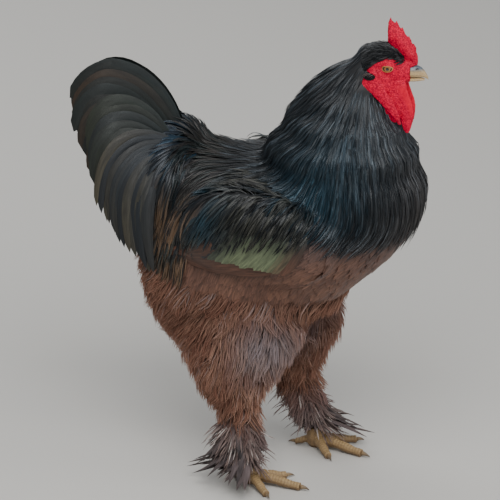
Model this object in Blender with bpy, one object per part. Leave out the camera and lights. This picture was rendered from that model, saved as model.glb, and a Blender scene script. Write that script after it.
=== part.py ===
"""A standing Brahma cock at life size, as separate closed solids, in metres.

+X is the way the bird faces, +Y its left side and +Z up. The floor is at z = 0.
The flesh parts are lofts between named stations. Each meets its neighbour with GAP between them.
"""
import math
import random

import bpy
import bmesh
from mathutils import Matrix, Vector
from mathutils.bvhtree import BVHTree

# Driving sizes
GAP = 0.0004
VANE_THICK = 0.0011
VANE_CROWN = 0.0006
TAIL_VANE_THICK = 0.0014
TAIL_VANE_CROWN = 0.0012
ROOT_DEPTH = 0.0035
BLADE = (0.60, 1.0, 0.92)
SIDES = {"right": -1.0, "left": 1.0}
EYE_LEVEL = Vector((0.1535, 0.0, 0.6245))
HEAD_TURN = math.radians(8.0)
HOCK = {"right": Vector((-0.051, -0.078, 0.124)), "left": Vector((-0.010, 0.077, 0.111))}
FOOT = {"right": Vector((-0.026, -0.078, 0.0)), "left": Vector((0.029, 0.077, 0.0))}
FOOT_YAW = {"right": math.radians(-7.0), "left": math.radians(-17.0)}
ANKLE_HEIGHT = 0.030

# Stations of the torso, tail end first: x, z of the widest level, rise, drop, half width
TORSO = (
    (-0.197, 0.322, 0.030, 0.030, 0.030),
    (-0.186, 0.325, 0.080, 0.078, 0.066),
    (-0.160, 0.328, 0.132, 0.128, 0.096),
    (-0.120, 0.332, 0.152, 0.156, 0.114),
    (-0.070, 0.337, 0.143, 0.155, 0.121),
    (-0.020, 0.347, 0.134, 0.143, 0.123),
    (0.030, 0.360, 0.128, 0.132, 0.121),
    (0.080, 0.377, 0.114, 0.118, 0.115),
    (0.125, 0.396, 0.096, 0.098, 0.103),
    (0.165, 0.414, 0.074, 0.080, 0.083),
    (0.193, 0.428, 0.050, 0.054, 0.057),
    (0.207, 0.434, 0.022, 0.022, 0.026),
)

# Stations of the neck, head end first: x and z of the centre, half length, half width
NECK = (
    (0.1305, 0.627, 0.026, 0.020),
    (0.1170, 0.607, 0.034, 0.027),
    (0.1040, 0.590, 0.047, 0.039),
    (0.0940, 0.562, 0.066, 0.057),
    (0.0920, 0.528, 0.093, 0.080),
    (0.0880, 0.492, 0.114, 0.099),
    (0.0900, 0.450, 0.119, 0.105),
)
NECK_LEAN = (0.95, 0.75, 0.50, 0.25, 0.10, 0.0, 0.0)

# Stations of a thigh from the hip down to the hock: height above the hock, half length, half width,
# and how far the centre is from the hock towards the hip
THIGH = (
    (0.140, 0.086, 0.050, 1.00),
    (0.110, 0.093, 0.056, 0.85),
    (0.080, 0.083, 0.055, 0.60),
    (0.050, 0.064, 0.049, 0.32),
    (0.022, 0.046, 0.040, 0.10),
    (0.004, 0.036, 0.032, 0.00),
)
HIP_SHIFT = {"right": Vector((0.008, 0.012, 0.0)), "left": Vector((-0.014, -0.011, 0.0))}

# Stations of the head from the nape to the beak, from eye level: forward, top, bottom, half width
HEAD = (
    (-0.0350, 0.0180, -0.0200, 0.0100),
    (-0.0280, 0.0260, -0.0270, 0.0155),
    (-0.0150, 0.0305, -0.0310, 0.0182),
    (0.0000, 0.0295, -0.0310, 0.0188),
    (0.0120, 0.0225, -0.0295, 0.0168),
    (0.0210, 0.0130, -0.0280, 0.0138),
    (0.0275, 0.0050, -0.0260, 0.0110),
    (0.0311, 0.0010, -0.0240, 0.0092),
)
EYE_RADIUS = 0.0080
EYE_PLACE = Vector((0.0005, 0.0128, 0.0))
LID_OUT = 0.0176

# Colours as sRGB, worked down to linear by the material maker
PLUMAGE = (0.075, 0.085, 0.095)
FLUFF = (0.29, 0.20, 0.16)
RED_SKIN = (0.82, 0.06, 0.12)
HORN = (0.78, 0.62, 0.42)
SHANK_SKIN = (0.72, 0.58, 0.38)
IRIS = (0.62, 0.36, 0.14)


def linear(value):
    """Linear value of one sRGB channel."""
    return value / 12.92 if value <= 0.04045 else ((value + 0.055) / 1.055) ** 2.4


def material(name, colour, roughness, metallic=0.0):
    """A Principled material with a plain colour."""
    made = bpy.data.materials.get(name) or bpy.data.materials.new(name)
    made.use_nodes = True
    shader = made.node_tree.nodes["Principled BSDF"]
    shader.inputs["Base Color"].default_value = (*(linear(c) for c in colour), 1.0)
    shader.inputs["Roughness"].default_value = roughness
    shader.inputs["Metallic"].default_value = metallic
    return made


def collection(name, hidden=False):
    """A collection of the scene by name."""
    found = bpy.data.collections.get(name)
    if found is None:
        found = bpy.data.collections.new(name)
        bpy.context.scene.collection.children.link(found)
        found.hide_render = hidden
    return found


def clear_scene():
    """Removes every object of the open file."""
    for old in list(bpy.data.objects):
        bpy.data.objects.remove(old)


def place_mesh(name, build, paint=None, parent=None, helper=False):
    """An object of triangles from a filled bmesh, shaded smooth, in the bird's collection or the cutters'."""
    bmesh.ops.recalc_face_normals(build, faces=build.faces)
    bmesh.ops.triangulate(build, faces=build.faces)
    mesh = bpy.data.meshes.new(name)
    build.to_mesh(mesh)
    build.free()
    mesh.shade_smooth()
    made = bpy.data.objects.new(name, mesh)
    collection("cutters" if helper else "brahma_cock", hidden=helper).objects.link(made)
    made.parent = parent
    if helper:
        made.hide_render = True
        made.display_type = "WIRE"
    if paint:
        mesh.materials.append(paint)
    return made


def spread(stations, count):
    """Rows read evenly along a smooth curve through the stations."""

    def between(a, b, c, d, t):
        turn = 2 * a - 5 * b + 4 * c - d
        twist = 3 * b - a - 3 * c + d
        return 0.5 * (2 * b + (c - a) * t + turn * t * t + twist * t ** 3)

    rows = []
    last = len(stations) - 1
    for step in range(count):
        place = step * last / (count - 1)
        first = min(int(place), last - 1)
        near = [stations[max(0, min(last, first + k))] for k in (-1, 0, 1, 2)]
        rows.append(tuple(between(*values, place - first) for values in zip(*near)))
    return rows


def oval(count, half_width, rise, drop, fullness=1.0):
    """Points round an oval as (across, up) pairs, anticlockwise from the top."""
    points = []
    for k in range(count):
        angle = 2 * math.pi * k / count
        s = math.sin(angle)
        c = math.cos(angle)
        across = math.copysign(abs(s) ** fullness, s) * half_width
        up = math.copysign(abs(c) ** fullness, c) * (rise if c > 0 else drop)
        points.append((across, up))
    return points


def upright_ring(centre, points):
    """A ring of points across the way the bird faces."""
    return [centre + Vector((0.0, across, up)) for across, up in points]


def level_ring(centre, points):
    """A ring of points at one level, where the oval's across stays across and its up runs forward."""
    return [centre + Vector((along, across, 0.0)) for across, along in points]


def loft(name, rings, paint=None, parent=None, helper=False):
    """A closed body through rings of points, with a flat face on each end. A ring of one point is a tip."""
    build = bmesh.new()
    rows = [[build.verts.new(p) for p in ring] for ring in rings]
    for near, far in zip(rows, rows[1:]):
        count = max(len(near), len(far))
        for k in range(count):
            after = k + 1
            corners = [near[k % len(near)], near[after % len(near)], far[after % len(far)], far[k % len(far)]]
            build.faces.new(list(dict.fromkeys(corners)))
    for end in (rows[0], rows[-1]):
        if len(end) > 2:
            build.faces.new(end)
    return place_mesh(name, build, paint, parent, helper)


def apply_modifiers(obj):
    """Makes the object's evaluated mesh its own."""
    bpy.context.view_layer.update()
    graph = bpy.context.evaluated_depsgraph_get()
    mesh = bpy.data.meshes.new_from_object(obj.evaluated_get(graph))
    obj.modifiers.clear()
    obj.data = mesh


def keep_largest(obj):
    """Leaves only the closed surface with the largest volume."""
    build = bmesh.new()
    build.from_mesh(obj.data)
    unseen = set(build.verts)
    bodies = []
    while unseen:
        body, edge = set(), [unseen.pop()]
        while edge:
            vert = edge.pop()
            body.add(vert)
            for link in vert.link_edges:
                other = link.other_vert(vert)
                if other in unseen:
                    unseen.discard(other)
                    edge.append(other)
        bodies.append(body)

    def volume(body):
        faces = {face for vert in body for face in vert.link_faces}
        return sum(
            face.verts[0].co.dot(face.verts[k].co.cross(face.verts[k + 1].co))
            for face in faces for k in range(1, len(face.verts) - 1)) / 6

    largest = max(bodies, key=volume)
    dropped = [vert for body in bodies if body is not largest for vert in body]
    bmesh.ops.delete(build, geom=dropped, context="VERTS")
    build.to_mesh(obj.data)
    build.free()


def combine(obj, others, operation):
    """Joins others to obj, or cuts them from it, in one Boolean on a collection, and removes them."""
    group = bpy.data.collections.new(obj.name + "_pieces")
    bpy.context.scene.collection.children.link(group)
    for other in others:
        for home in list(other.users_collection):
            home.objects.unlink(other)
        group.objects.link(other)
    change = obj.modifiers.new("combine", "BOOLEAN")
    change.operation = operation
    change.operand_type = "COLLECTION"
    change.collection = group
    change.solver = "MANIFOLD"
    apply_modifiers(obj)
    for other in others:
        bpy.data.objects.remove(other)
    bpy.data.collections.remove(group)
    keep_largest(obj)
    return obj


def grown(obj, gap=GAP):
    """A cutter of the object's shape, larger by gap on every side."""
    bpy.context.view_layer.update()
    build = bmesh.new()
    build.from_mesh(obj.data)
    bmesh.ops.triangulate(build, faces=build.faces)
    build.normal_update()
    moved = [vert.co + vert.normal * (gap * vert.calc_shell_factor()) for vert in build.verts]
    for vert, place in zip(build.verts, moved):
        vert.co = place
    build.transform(obj.matrix_world)
    return place_mesh(obj.name + "_grown", build, helper=True)


def copies(pieces):
    """Copies of cutters that are needed again."""
    return [piece.copy() for piece in pieces]


def surface_of(*objects):
    """One search tree over the world-space surfaces of the objects."""
    points, faces = [], []
    for obj in objects:
        start = len(points)
        points += [obj.matrix_world @ vert.co for vert in obj.data.vertices]
        faces += [[start + k for k in face.vertices] for face in obj.data.polygons]
    return BVHTree.FromPolygons(points, faces)


def feather(name, plan, room=0.0):
    """A blade along its quill, thick on the quill and thin at its edges, ending in a point.

    The plan is its places, the direction it faces at each, its widths, its thickness, and how far its
    edges lie below the quill. Both faces are split into triangles alike, so that they can't cross where
    the blade bends. With room it is a cutter that clears the blade.
    """
    places, outs, widths, thickness, crown = plan
    build = bmesh.new()
    rows = []
    last = len(places) - 1
    half_thick = thickness / 2 + 1.5 * room
    for k in range(last):
        ahead = (places[k + 1] - places[max(0, k - 1)]).normalized()
        out = (outs[k] - ahead * ahead.dot(outs[k])).normalized()
        across = ahead.cross(out) * (widths[k] / 2 + 2 * room)
        place = places[k] - ahead * (room if k == 0 else 0.0)
        rows.append([
            build.verts.new(place - across - out * crown),
            build.verts.new(place + out * half_thick),
            build.verts.new(place + across - out * crown),
            build.verts.new(place - out * half_thick)])
    tip = build.verts.new(places[last] + (places[last] - places[last - 1]).normalized() * (3 * room))
    for near, far in zip(rows, rows[1:]):
        for edge, middle in ((0, 1), (2, 1), (0, 3), (2, 3)):
            build.faces.new((near[edge], near[middle], far[middle]))
            build.faces.new((near[edge], far[middle], far[edge]))
    for k in range(4):
        build.faces.new((rows[-1][k], rows[-1][(k + 1) % 4], tip))
    for corner in (1, 3):
        build.faces.new((rows[0][0], rows[0][corner], rows[0][2]))
    return place_mesh(name, build, helper=True)


def fledge(core, name, plans):
    """Joins feathers to their core. What comes back is a list of cutters that clear the whole node."""
    room = [grown(core, 2 * GAP)] + [feather("room", plan, GAP) for plan in plans]
    combine(core, [feather(name, plan) for plan in plans], "UNION")
    return room


def trail(bed, start, heading, length, lifts, sag=0.0):
    """Places along a blade that lies over the bed, and the bed's outward direction at each.

    The blade starts at the place of the bed nearest to start, and its height over the bed is read from
    lifts. A negative first height sinks the root. With sag it turns down on its way.
    """
    point, out, _, _ = bed.find_nearest(start)
    steps = len(lifts) - 1
    places, outs = [], []
    for k, lift in enumerate(lifts):
        places.append(point + out * lift)
        outs.append(out)
        if k == steps:
            break
        heading = heading + Vector((0.0, 0.0, -sag))
        heading = (heading - out * heading.dot(out)).normalized()
        nearer, turned, _, _ = bed.find_nearest(point + heading * (length / steps))
        point, out = nearer, (out + turned).normalized()
    return places, outs


def leaned(places, outs, degrees):
    """Outward directions turned about the blade, so that one edge stands out and covers its neighbour."""
    turn = Matrix.Rotation(math.radians(degrees), 3, (places[-1] - places[0]).normalized())
    return [turn @ out for out in outs]


def blade_widths(width):
    """Widths of a lance-shaped blade from its root to just before its tip."""
    return [width * share for share in BLADE]


def torso_ring(row, count=24):
    """One ring of the torso, upright across the bird."""
    x, middle, rise, drop, half = row
    return upright_ring(Vector((x, 0.0, middle)), oval(count, half, rise, drop, 0.90))


def make_torso(feather_paint):
    """Body core, from the fluff below the tail to the breast."""
    rows = spread(TORSO, 18)
    return loft("torso", [torso_ring(row) for row in rows], feather_paint)


def neck_rings(inset, count=20, steps=9):
    """Rings of the neck, tilted with the arch of the neck, drawn in by inset."""
    stations = [(*place, lean) for place, lean in zip(NECK, NECK_LEAN)]
    rings = []
    for x, z, length, width, lean in spread(stations, steps):
        ahead = Vector((math.cos(lean), 0.0, -math.sin(lean)))
        rings.append([
            Vector((x, across, z)) + ahead * along
            for across, along in oval(count, width - inset, length - inset, length - inset, 0.95)])
    return rings


# Rows of hackle from the nape down: share of the neck's length, feathers in the row, length, width,
# and the share of the circle round the throat that is left bare
HACKLE = (
    (0.02, 5, 0.088, 0.019, 0.26),
    (0.22, 7, 0.102, 0.021, 0.16),
    (0.42, 9, 0.106, 0.025, 0.10),
    (0.62, 11, 0.106, 0.027, 0.0),
    (0.80, 12, 0.098, 0.028, 0.0),
)
HACKLE_INSET = 0.008
HACKLE_LIFTS = (-ROOT_DEPTH, 0.0022, 0.0052, 0.0078)
HACKLE_TILT = 5.0


def make_neck(torso, wings, room, face, chance, feather_paint):
    """Neck with its hackle in overlapping rows that fall over the shoulders."""
    neck = loft("neck", neck_rings(HACKLE_INSET), feather_paint)
    bed = surface_of(neck, torso, *wings)
    rings = neck_rings(HACKLE_INSET, 72, 61)
    plans = []
    for share, count, length, width, bare in HACKLE:
        row = round(share * 60)
        for k in range(count):
            spot = round(72 * (bare / 2 + (1 - bare) * (k + 0.5) / count)) % 72
            start = rings[row][spot]
            ahead = rings[row + 3][spot] - start
            long = length * chance.uniform(0.92, 1.08)
            places, outs = trail(bed, start, ahead, long, HACKLE_LIFTS)
            tilt = math.copysign(HACKLE_TILT, 36 - spot)
            plans.append((places, leaned(places, outs, tilt), blade_widths(width), VANE_THICK, VANE_CROWN))
    fledge(neck, "hackle", plans)
    return combine(neck, [grown(piece) for piece in (torso, *face)] + copies(room), "DIFFERENCE")


def make_thigh(side, torso, feather_paint):
    """Feathered thigh from the flank down to the hock."""
    hock = HOCK[side]
    rings = []
    for height, length, width, share in spread(THIGH, 10):
        centre = hock + HIP_SHIFT[side] * share + Vector((0.0, 0.0, height))
        rings.append(level_ring(centre, oval(18, width, length, length, 0.95)))
    thigh = loft("thigh_" + side, rings, feather_paint)
    return combine(thigh, [grown(torso)], "DIFFERENCE")


# Stations of a shank down its length: share of the length, half length and half width
SHANK = (
    (0.0, 0.028, 0.026),
    (0.35, 0.024, 0.021),
    (0.7, 0.021, 0.019),
    (1.0, 0.018, 0.018),
)

# Boot feathers in tiers down the outside of a shank: height over the floor, how many, length, width and fall.
# They fan out on both sides of a middle direction, in degrees from straight ahead turning outwards
BOOT = (
    (0.088, 3, 0.052, 0.020, 0.55),
    (0.060, 4, 0.068, 0.022, 0.42),
    (0.036, 4, 0.080, 0.022, 0.22),
)
BOOT_MIDDLE = {"right": 128.0, "left": 52.0}
BOOT_FAN = 52.0
BOOT_ROOT = 0.008


def make_shank(side, chance, feather_paint):
    """Feathered shank from the hock to the ankle with the boot feathers on its outer side."""
    top = HOCK[side] + Vector((0.0, 0.0, 0.004 - GAP))
    ankle = FOOT[side] + Vector((0.0, 0.0, ANKLE_HEIGHT))
    outward = SIDES[side]
    rings = []
    for t, length, width in spread(SHANK, 6):
        rings.append(level_ring(top.lerp(ankle, t), oval(14, width, length, length)))
    shank = loft("shank_" + side, rings, feather_paint)
    up = Vector((0.0, 0.0, 1.0))
    plans = []
    for height, count, length, width, fall in BOOT:
        for k in range(count):
            fan = BOOT_FAN * (2 * k / (count - 1) - 1)
            turn = math.radians(BOOT_MIDDLE[side] + fan + chance.uniform(-4, 4))
            out = Vector((math.cos(turn), math.sin(turn) * outward, 0.0))
            middle = ankle.lerp(top, (height - ankle.z) / (top.z - ankle.z))
            long = length * chance.uniform(0.9, 1.1)
            places = []
            for t in (0.0, 1 / 3, 2 / 3, 1.0):
                drop = 0.004 - long * fall * t ** 1.6
                places.append(middle + out * (BOOT_ROOT + long * t) + up * drop)
            plans.append((places, [up] * 3, blade_widths(width), VANE_THICK, VANE_CROWN))
    return combine(shank, [feather("boot", plan) for plan in plans], "UNION")

# Toes: name, direction from straight ahead turning outwards, length to the claw, radius at the root
TOES = (
    ("inner", -38.0, 0.054, 0.0080),
    ("middle", 0.0, 0.078, 0.0088),
    ("outer", 44.0, 0.060, 0.0080),
    ("hind", -160.0, 0.030, 0.0070),
)
CLAW_LENGTH = {"inner": 0.014, "middle": 0.016, "outer": 0.013, "hind": 0.012}
TOE_TAPER = 0.66
SOLE_DIP = 0.0005

# Ball of the foot from the sole up to the ankle: height, half width, half length
BALL = (
    (-SOLE_DIP, 0.0090, 0.0105),
    (0.006, 0.0125, 0.0135),
    (0.014, 0.0135, 0.0140),
    (0.022, 0.0125, 0.0130),
    (ANKLE_HEIGHT - GAP, 0.0110, 0.0115),
)


def toe_line(length, radius, t):
    """Distance out and height of a toe's centre line at share t of its length."""
    arch = 0.006 * math.sin(math.pi * min(1.0, t * 1.15))
    lift = 0.005 * (1 - t) ** 2
    return length * t, radius * (1 - (1 - TOE_TAPER) * t) - SOLE_DIP + 0.35 * arch + lift


def toe_rings(heading, length, radius, steps=7, count=8):
    """Rings of one toe in the foot's frame, swollen at its joints."""
    out = Vector((math.cos(heading), math.sin(heading), 0.0))
    side = Vector((-out.y, out.x, 0.0))
    rings = []
    for k in range(steps):
        t = k / (steps - 1)
        reach, height = toe_line(length, radius, t)
        thick = radius * (1 - (1 - TOE_TAPER) * t) * (1 + 0.07 * math.cos(6 * math.pi * t))
        centre = out * reach + Vector((0.0, 0.0, height))
        rings.append([centre + side * a + Vector((0.0, 0.0, u)) for a, u in oval(count, thick, thick, thick)])
    return rings


def make_foot(side, frame, skin_paint):
    """Ball and four toes, resting on flats at the floor."""
    outward = SIDES[side]
    ball_rings = [level_ring(Vector((0.0, 0.0, z)), oval(12, wide, long, long)) for z, wide, long in BALL]
    foot = loft("foot_" + side, ball_rings, skin_paint, frame)
    toes = [
        loft("toe_" + name, toe_rings(math.radians(turn) * outward, length, radius), None, frame, helper=True)
        for name, turn, length, radius in TOES]
    combine(foot, toes, "UNION")
    floor = bmesh.new()
    bmesh.ops.create_cube(floor, size=0.4, matrix=Matrix.Translation((0.0, 0.0, -0.2)))
    return combine(foot, [place_mesh("floor_cut", floor, parent=frame, helper=True)], "DIFFERENCE")


def make_claw(side, toe, frame, horn_paint):
    """A curved claw whose base meets the toe's end face."""
    name, turn, length, radius = toe
    heading = math.radians(turn) * SIDES[side]
    out = Vector((math.cos(heading), math.sin(heading), 0.0))
    across = Vector((-out.y, out.x, 0.0))
    reach, height = toe_line(length, radius, 1.0)
    base = radius * TOE_TAPER * 0.74
    long = CLAW_LENGTH[name]
    rings = []
    for k in range(5):
        t = k / 4
        centre = out * (reach + GAP + long * t)
        centre.z = height + 0.0010 * math.sin(math.pi * t) - (height - 0.0014) * t * t
        thick = base * (1 - t) ** 0.75
        sides = oval(6, 0.8 * thick, thick, thick) if k < 4 else [(0.0, 0.0)]
        rings.append([centre + across * a + Vector((0.0, 0.0, u)) for a, u in sides])
    return loft(f"claw_{side}_{name}", rings, horn_paint, frame)


def make_head(frame, red_paint):
    """Skull and face, with a socket for each eye inside a raised rim of lids."""
    rings = []
    for forward, top, bottom, half in spread(HEAD, 11):
        rise = (top - bottom) / 2
        rings.append(upright_ring(Vector((forward, 0.0, top - rise)), oval(18, half, rise, rise, 0.92)))
    head = loft("head", rings, red_paint, frame)
    lids = []
    for side, outward in SIDES.items():
        ring = bmesh.new()
        rows = []
        for k in range(16):
            angle = 2 * math.pi * k / 16
            middle = Vector((math.cos(angle) * 0.0072, 0.0, math.sin(angle) * 0.0056))
            outer = middle.normalized()
            rows.append([
                middle + outer * (math.cos(b) * 0.0017) + Vector((0.0, math.sin(b) * 0.0024, 0.0))
                for b in (2 * math.pi * j / 5 for j in range(5))])
        centre = Vector((EYE_PLACE.x, outward * LID_OUT, EYE_PLACE.z))
        verts = [[ring.verts.new(centre + point) for point in row] for row in rows]
        for k, row in enumerate(verts):
            after = verts[(k + 1) % len(verts)]
            for j in range(5):
                ring.faces.new((row[j], row[(j + 1) % 5], after[(j + 1) % 5], after[j]))
        lids.append(place_mesh("lids_" + side, ring, parent=frame, helper=True))
    combine(head, lids, "UNION")
    sockets = []
    for side, outward in SIDES.items():
        ball = bmesh.new()
        bmesh.ops.create_uvsphere(ball, u_segments=12, v_segments=8, radius=EYE_RADIUS + GAP)
        bmesh.ops.translate(ball, verts=ball.verts, vec=(EYE_PLACE.x, outward * EYE_PLACE.y, EYE_PLACE.z))
        sockets.append(place_mesh("socket_" + side, ball, parent=frame, helper=True))
    return combine(head, sockets, "DIFFERENCE")


def make_eye(side, frame, iris_paint):
    """Eyeball in its socket."""
    ball = bmesh.new()
    bmesh.ops.create_uvsphere(ball, u_segments=12, v_segments=8, radius=EYE_RADIUS)
    bmesh.ops.translate(ball, verts=ball.verts, vec=(EYE_PLACE.x, SIDES[side] * EYE_PLACE.y, EYE_PLACE.z))
    return place_mesh("eye_" + side, ball, iris_paint, frame)


# Beak stations from its root: forward, top, bottom, half width, all from eye level
BEAK_UPPER = (
    (0.0315, -0.0005, -0.0172, 0.0085),
    (0.0380, 0.0005, -0.0174, 0.0074),
    (0.0440, -0.0005, -0.0172, 0.0058),
    (0.0495, -0.0050, -0.0172, 0.0042),
    (0.0535, -0.0112, -0.0182, 0.0028),
    (0.0565, -0.0165, -0.0205, 0.0012),
)
BEAK_LOWER = (
    (0.0315, -0.0177, -0.0232, 0.0074),
    (0.0380, -0.0179, -0.0230, 0.0062),
    (0.0450, -0.0177, -0.0222, 0.0045),
    (0.0515, -0.0190, -0.0212, 0.0024),
)


def make_beak(name, stations, frame, horn_paint):
    """One half of the beak, rounded on its outer side and flat where the halves meet."""
    rings = []
    for forward, top, bottom, half in spread(stations, 7):
        rise = (top - bottom) / 2
        rings.append(upright_ring(Vector((forward, 0.0, top - rise)), oval(10, half, rise, rise, 0.8)))
    return loft(name, rings, horn_paint, frame)


def make_comb(frame, head, beak, red_paint):
    """Low pea comb: a tall middle row of knobs and a lower row on each side."""
    rings = []
    for forward, base, top, half in spread(COMB, 7):
        rise = (top - base) / 2
        rings.append(upright_ring(Vector((forward, 0.0, top - rise)), oval(10, half, rise, rise)))
    comb = loft("comb", rings, red_paint, frame)
    knobs = []
    for row, rise_share, count in ((0.0, 1.0, 5), (0.0062, 0.62, 4), (-0.0062, 0.62, 4)):
        for k, (forward, base, top, half) in enumerate(spread(COMB, count + 2)[1:-1]):
            knob = bmesh.new()
            bmesh.ops.create_icosphere(knob, subdivisions=1, radius=1.0)
            tall = (top - base) * 0.42 * rise_share
            level = base + (top - base) * (0.15 + 0.55 * rise_share)
            place = Vector((forward + 0.0008 * (k % 2), row, level))
            size = Matrix.Diagonal((0.0046, 0.0040, tall, 1.0))
            knob.transform(Matrix.Translation(place) @ size)
            knobs.append(place_mesh("knob", knob, parent=frame, helper=True))
    combine(comb, knobs, "UNION")
    return combine(comb, [grown(head), grown(beak)], "DIFFERENCE")


# Comb stations: forward, base, top, half width
COMB = (
    (-0.0010, 0.0300, 0.0560, 0.0015),
    (0.0020, 0.0270, 0.0655, 0.0045),
    (0.0080, 0.0240, 0.0640, 0.0070),
    (0.0150, 0.0180, 0.0555, 0.0085),
    (0.0230, 0.0090, 0.0490, 0.0090),
    (0.0300, 0.0020, 0.0360, 0.0085),
    (0.0365, -0.0010, 0.0280, 0.0065),
    (0.0415, 0.0000, 0.0140, 0.0030),
)

# Wattle and earlobe stations down their length: forward, height, half breadth, half thickness
WATTLE = (
    (0.0150, -0.0200, 0.0110, 0.0030),
    (0.0160, -0.0290, 0.0115, 0.0036),
    (0.0210, -0.0430, 0.0110, 0.0036),
    (0.0260, -0.0580, 0.0110, 0.0034),
    (0.0282, -0.0740, 0.0092, 0.0030),
    (0.0280, -0.0880, 0.0066, 0.0024),
    (0.0288, -0.0965, 0.0020, 0.0012),
)
EARLOBE = (
    (-0.0240, -0.0100, 0.0060, 0.0018),
    (-0.0210, -0.0200, 0.0115, 0.0026),
    (-0.0150, -0.0310, 0.0135, 0.0030),
    (-0.0040, -0.0440, 0.0115, 0.0030),
    (0.0070, -0.0590, 0.0085, 0.0026),
    (0.0150, -0.0720, 0.0052, 0.0020),
    (0.0195, -0.0820, 0.0016, 0.0010),
)

# How far a wattle and an earlobe hang from the middle of the head at eye level, and how much more
# for each unit further down
WATTLE_SIDE = (0.0115, 0.02)
EARLOBE_SIDE = (0.0196, 0.03)


def make_lobe(name, stations, spacing, outward, frame, red_paint, cutters):
    """A hanging fold of red skin, flattened sideways."""
    rings = []
    for forward, height, breadth, thick in spread(stations, 10):
        centre = Vector((forward, outward * (spacing[0] - spacing[1] * height), height))
        rings.append(level_ring(centre, oval(12, thick, breadth, breadth)))
    lobe = loft(name, rings, red_paint, frame)
    return combine(lobe, [grown(cutter) for cutter in cutters], "DIFFERENCE")


def patch(name, rows, thickness, bed, cast, paint):
    """A shell that lies on the bed: rows of (u, v) places are cast onto it and lifted by their thickness."""
    build = bmesh.new()
    inner, outer = [], []
    for row in rows:
        low, high = [], []
        for place in row:
            point, out = cast(bed, place)
            low.append(build.verts.new(point - out * PATCH_ROOT))
            high.append(build.verts.new(point + out * thickness(place)))
        inner.append(low)
        outer.append(high)
    last, width = len(rows) - 1, len(rows[0]) - 1
    for i in range(last):
        for j in range(width):
            build.faces.new((outer[i][j], outer[i + 1][j], outer[i + 1][j + 1], outer[i][j + 1]))
            build.faces.new((inner[i][j], inner[i][j + 1], inner[i + 1][j + 1], inner[i + 1][j]))
    for i in range(last):
        for j in (0, width):
            build.faces.new((inner[i][j], inner[i + 1][j], outer[i + 1][j], outer[i][j]))
    for j in range(width):
        for i in (0, last):
            build.faces.new((inner[i][j], outer[i][j], outer[i][j + 1], inner[i][j + 1]))
    return place_mesh(name, build, paint)


# Wing outline on the bird's side, front to back: x, lower edge, upper edge
WING = (
    (0.108, 0.385, 0.415),
    (0.095, 0.352, 0.432),
    (0.060, 0.324, 0.442),
    (0.010, 0.312, 0.442),
    (-0.040, 0.310, 0.428),
    (-0.080, 0.314, 0.398),
    (-0.112, 0.320, 0.362),
    (-0.128, 0.324, 0.345),
)
WING_THICK = 0.010
PATCH_ROOT = 0.004

# Feathers of a folded wing, lowest tier first: how many, first and last root (x, z), heading below level in
# degrees, length, width, heights over the wing's core, and tilt of the blade's lower edge outwards in degrees
TIERS = {
    "secondaries": (6, (0.036, 0.320), (0.006, 0.396), (1.0, 20.0), (0.175, 0.112), 0.027,
                    (-ROOT_DEPTH, 0.0024, 0.0028, 0.0032), 8.0, 0.0004),
    "greater_coverts": (6, (0.086, 0.374), (-0.046, 0.396), (48.0, 40.0), (0.068, 0.060), 0.025,
                        (-ROOT_DEPTH, 0.0062, 0.0082, 0.0090), 6.0, 0.0),
    "median_coverts": (6, (0.084, 0.406), (-0.038, 0.416), (42.0, 38.0), (0.066, 0.056), 0.025,
                       (-ROOT_DEPTH, 0.0080, 0.0112, 0.0124), 6.0, 0.0),
}


def make_wing(side, torso, chance, feather_paint):
    """Folded wing: a thin core on the flank that carries its feathers in tiers."""
    outward = SIDES[side]
    side_on = Vector((0.0, outward, 0.0))

    def cast(bed, place):
        x, z = place[:2]
        point = bed.ray_cast(Vector((x, 0.0, z)) + side_on * 0.4, -side_on)[0]
        return point, (side_on + Vector((0.0, 0.0, 2.2 * (z - 0.36)))).normalized()

    def thickness(place):
        along, up = place[2:]
        return 0.002 + WING_THICK * (1 - (2 * up - 1) ** 4) * (1 - 0.55 * along) * min(1.0, 6 * along + 0.25)

    rows = []
    for i, (x, low, high) in enumerate(spread(WING, 10)):
        rows.append([(x, low + (high - low) * j / 5, i / 9, j / 5) for j in range(6)])
    wing = patch("wing_" + side, rows, thickness, surface_of(torso), cast, feather_paint)
    bed = surface_of(wing, torso)
    plans = []
    for count, first, last, headings, lengths, width, lifts, tilt, rise in TIERS.values():
        for k in range(count):
            t = k / (count - 1)
            x, z = (a + (b - a) * t for a, b in zip(first, last))
            fall = math.radians(headings[0] + (headings[1] - headings[0]) * t + chance.uniform(-2, 2))
            long = (lengths[0] + (lengths[1] - lengths[0]) * t) * chance.uniform(0.95, 1.05)
            start = bed.ray_cast(Vector((x, 0.0, z)) + side_on * 0.4, -side_on)[0]
            heights = [lifts[0]] + [lift + rise * k for lift in lifts[1:]]
            places, outs = trail(bed, start, Vector((-math.cos(fall), 0.0, -math.sin(fall))), long, heights)
            plans.append((
                places, leaned(places, outs, -tilt * outward), blade_widths(width), VANE_THICK, VANE_CROWN))
    room = fledge(wing, "wing_feather", plans)
    combine(wing, [grown(torso)], "DIFFERENCE")
    return wing, room


# Saddle from its front edge back: x, and the angle down each side that it reaches
SADDLE = ((-0.020, 38.0), (-0.060, 44.0), (-0.100, 56.0), (-0.125, 74.0), (-0.150, 96.0), (-0.170, 106.0))
SADDLE_THICK = 0.007


# Rows of saddle hackle from the front: x, feathers on each side, reach down the side in degrees, length
# and width
SADDLE_ROWS = (
    (-0.034, 3, 34.0, 0.085, 0.025),
    (-0.068, 4, 46.0, 0.092, 0.025),
    (-0.102, 4, 66.0, 0.102, 0.025),
    (-0.134, 4, 92.0, 0.095, 0.022),
)
SADDLE_LIFTS = (-ROOT_DEPTH, 0.0024, 0.0056, 0.0084)
SADDLE_CENTRE = 0.335
SADDLE_PARTING = (-0.12, 0.45)


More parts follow.
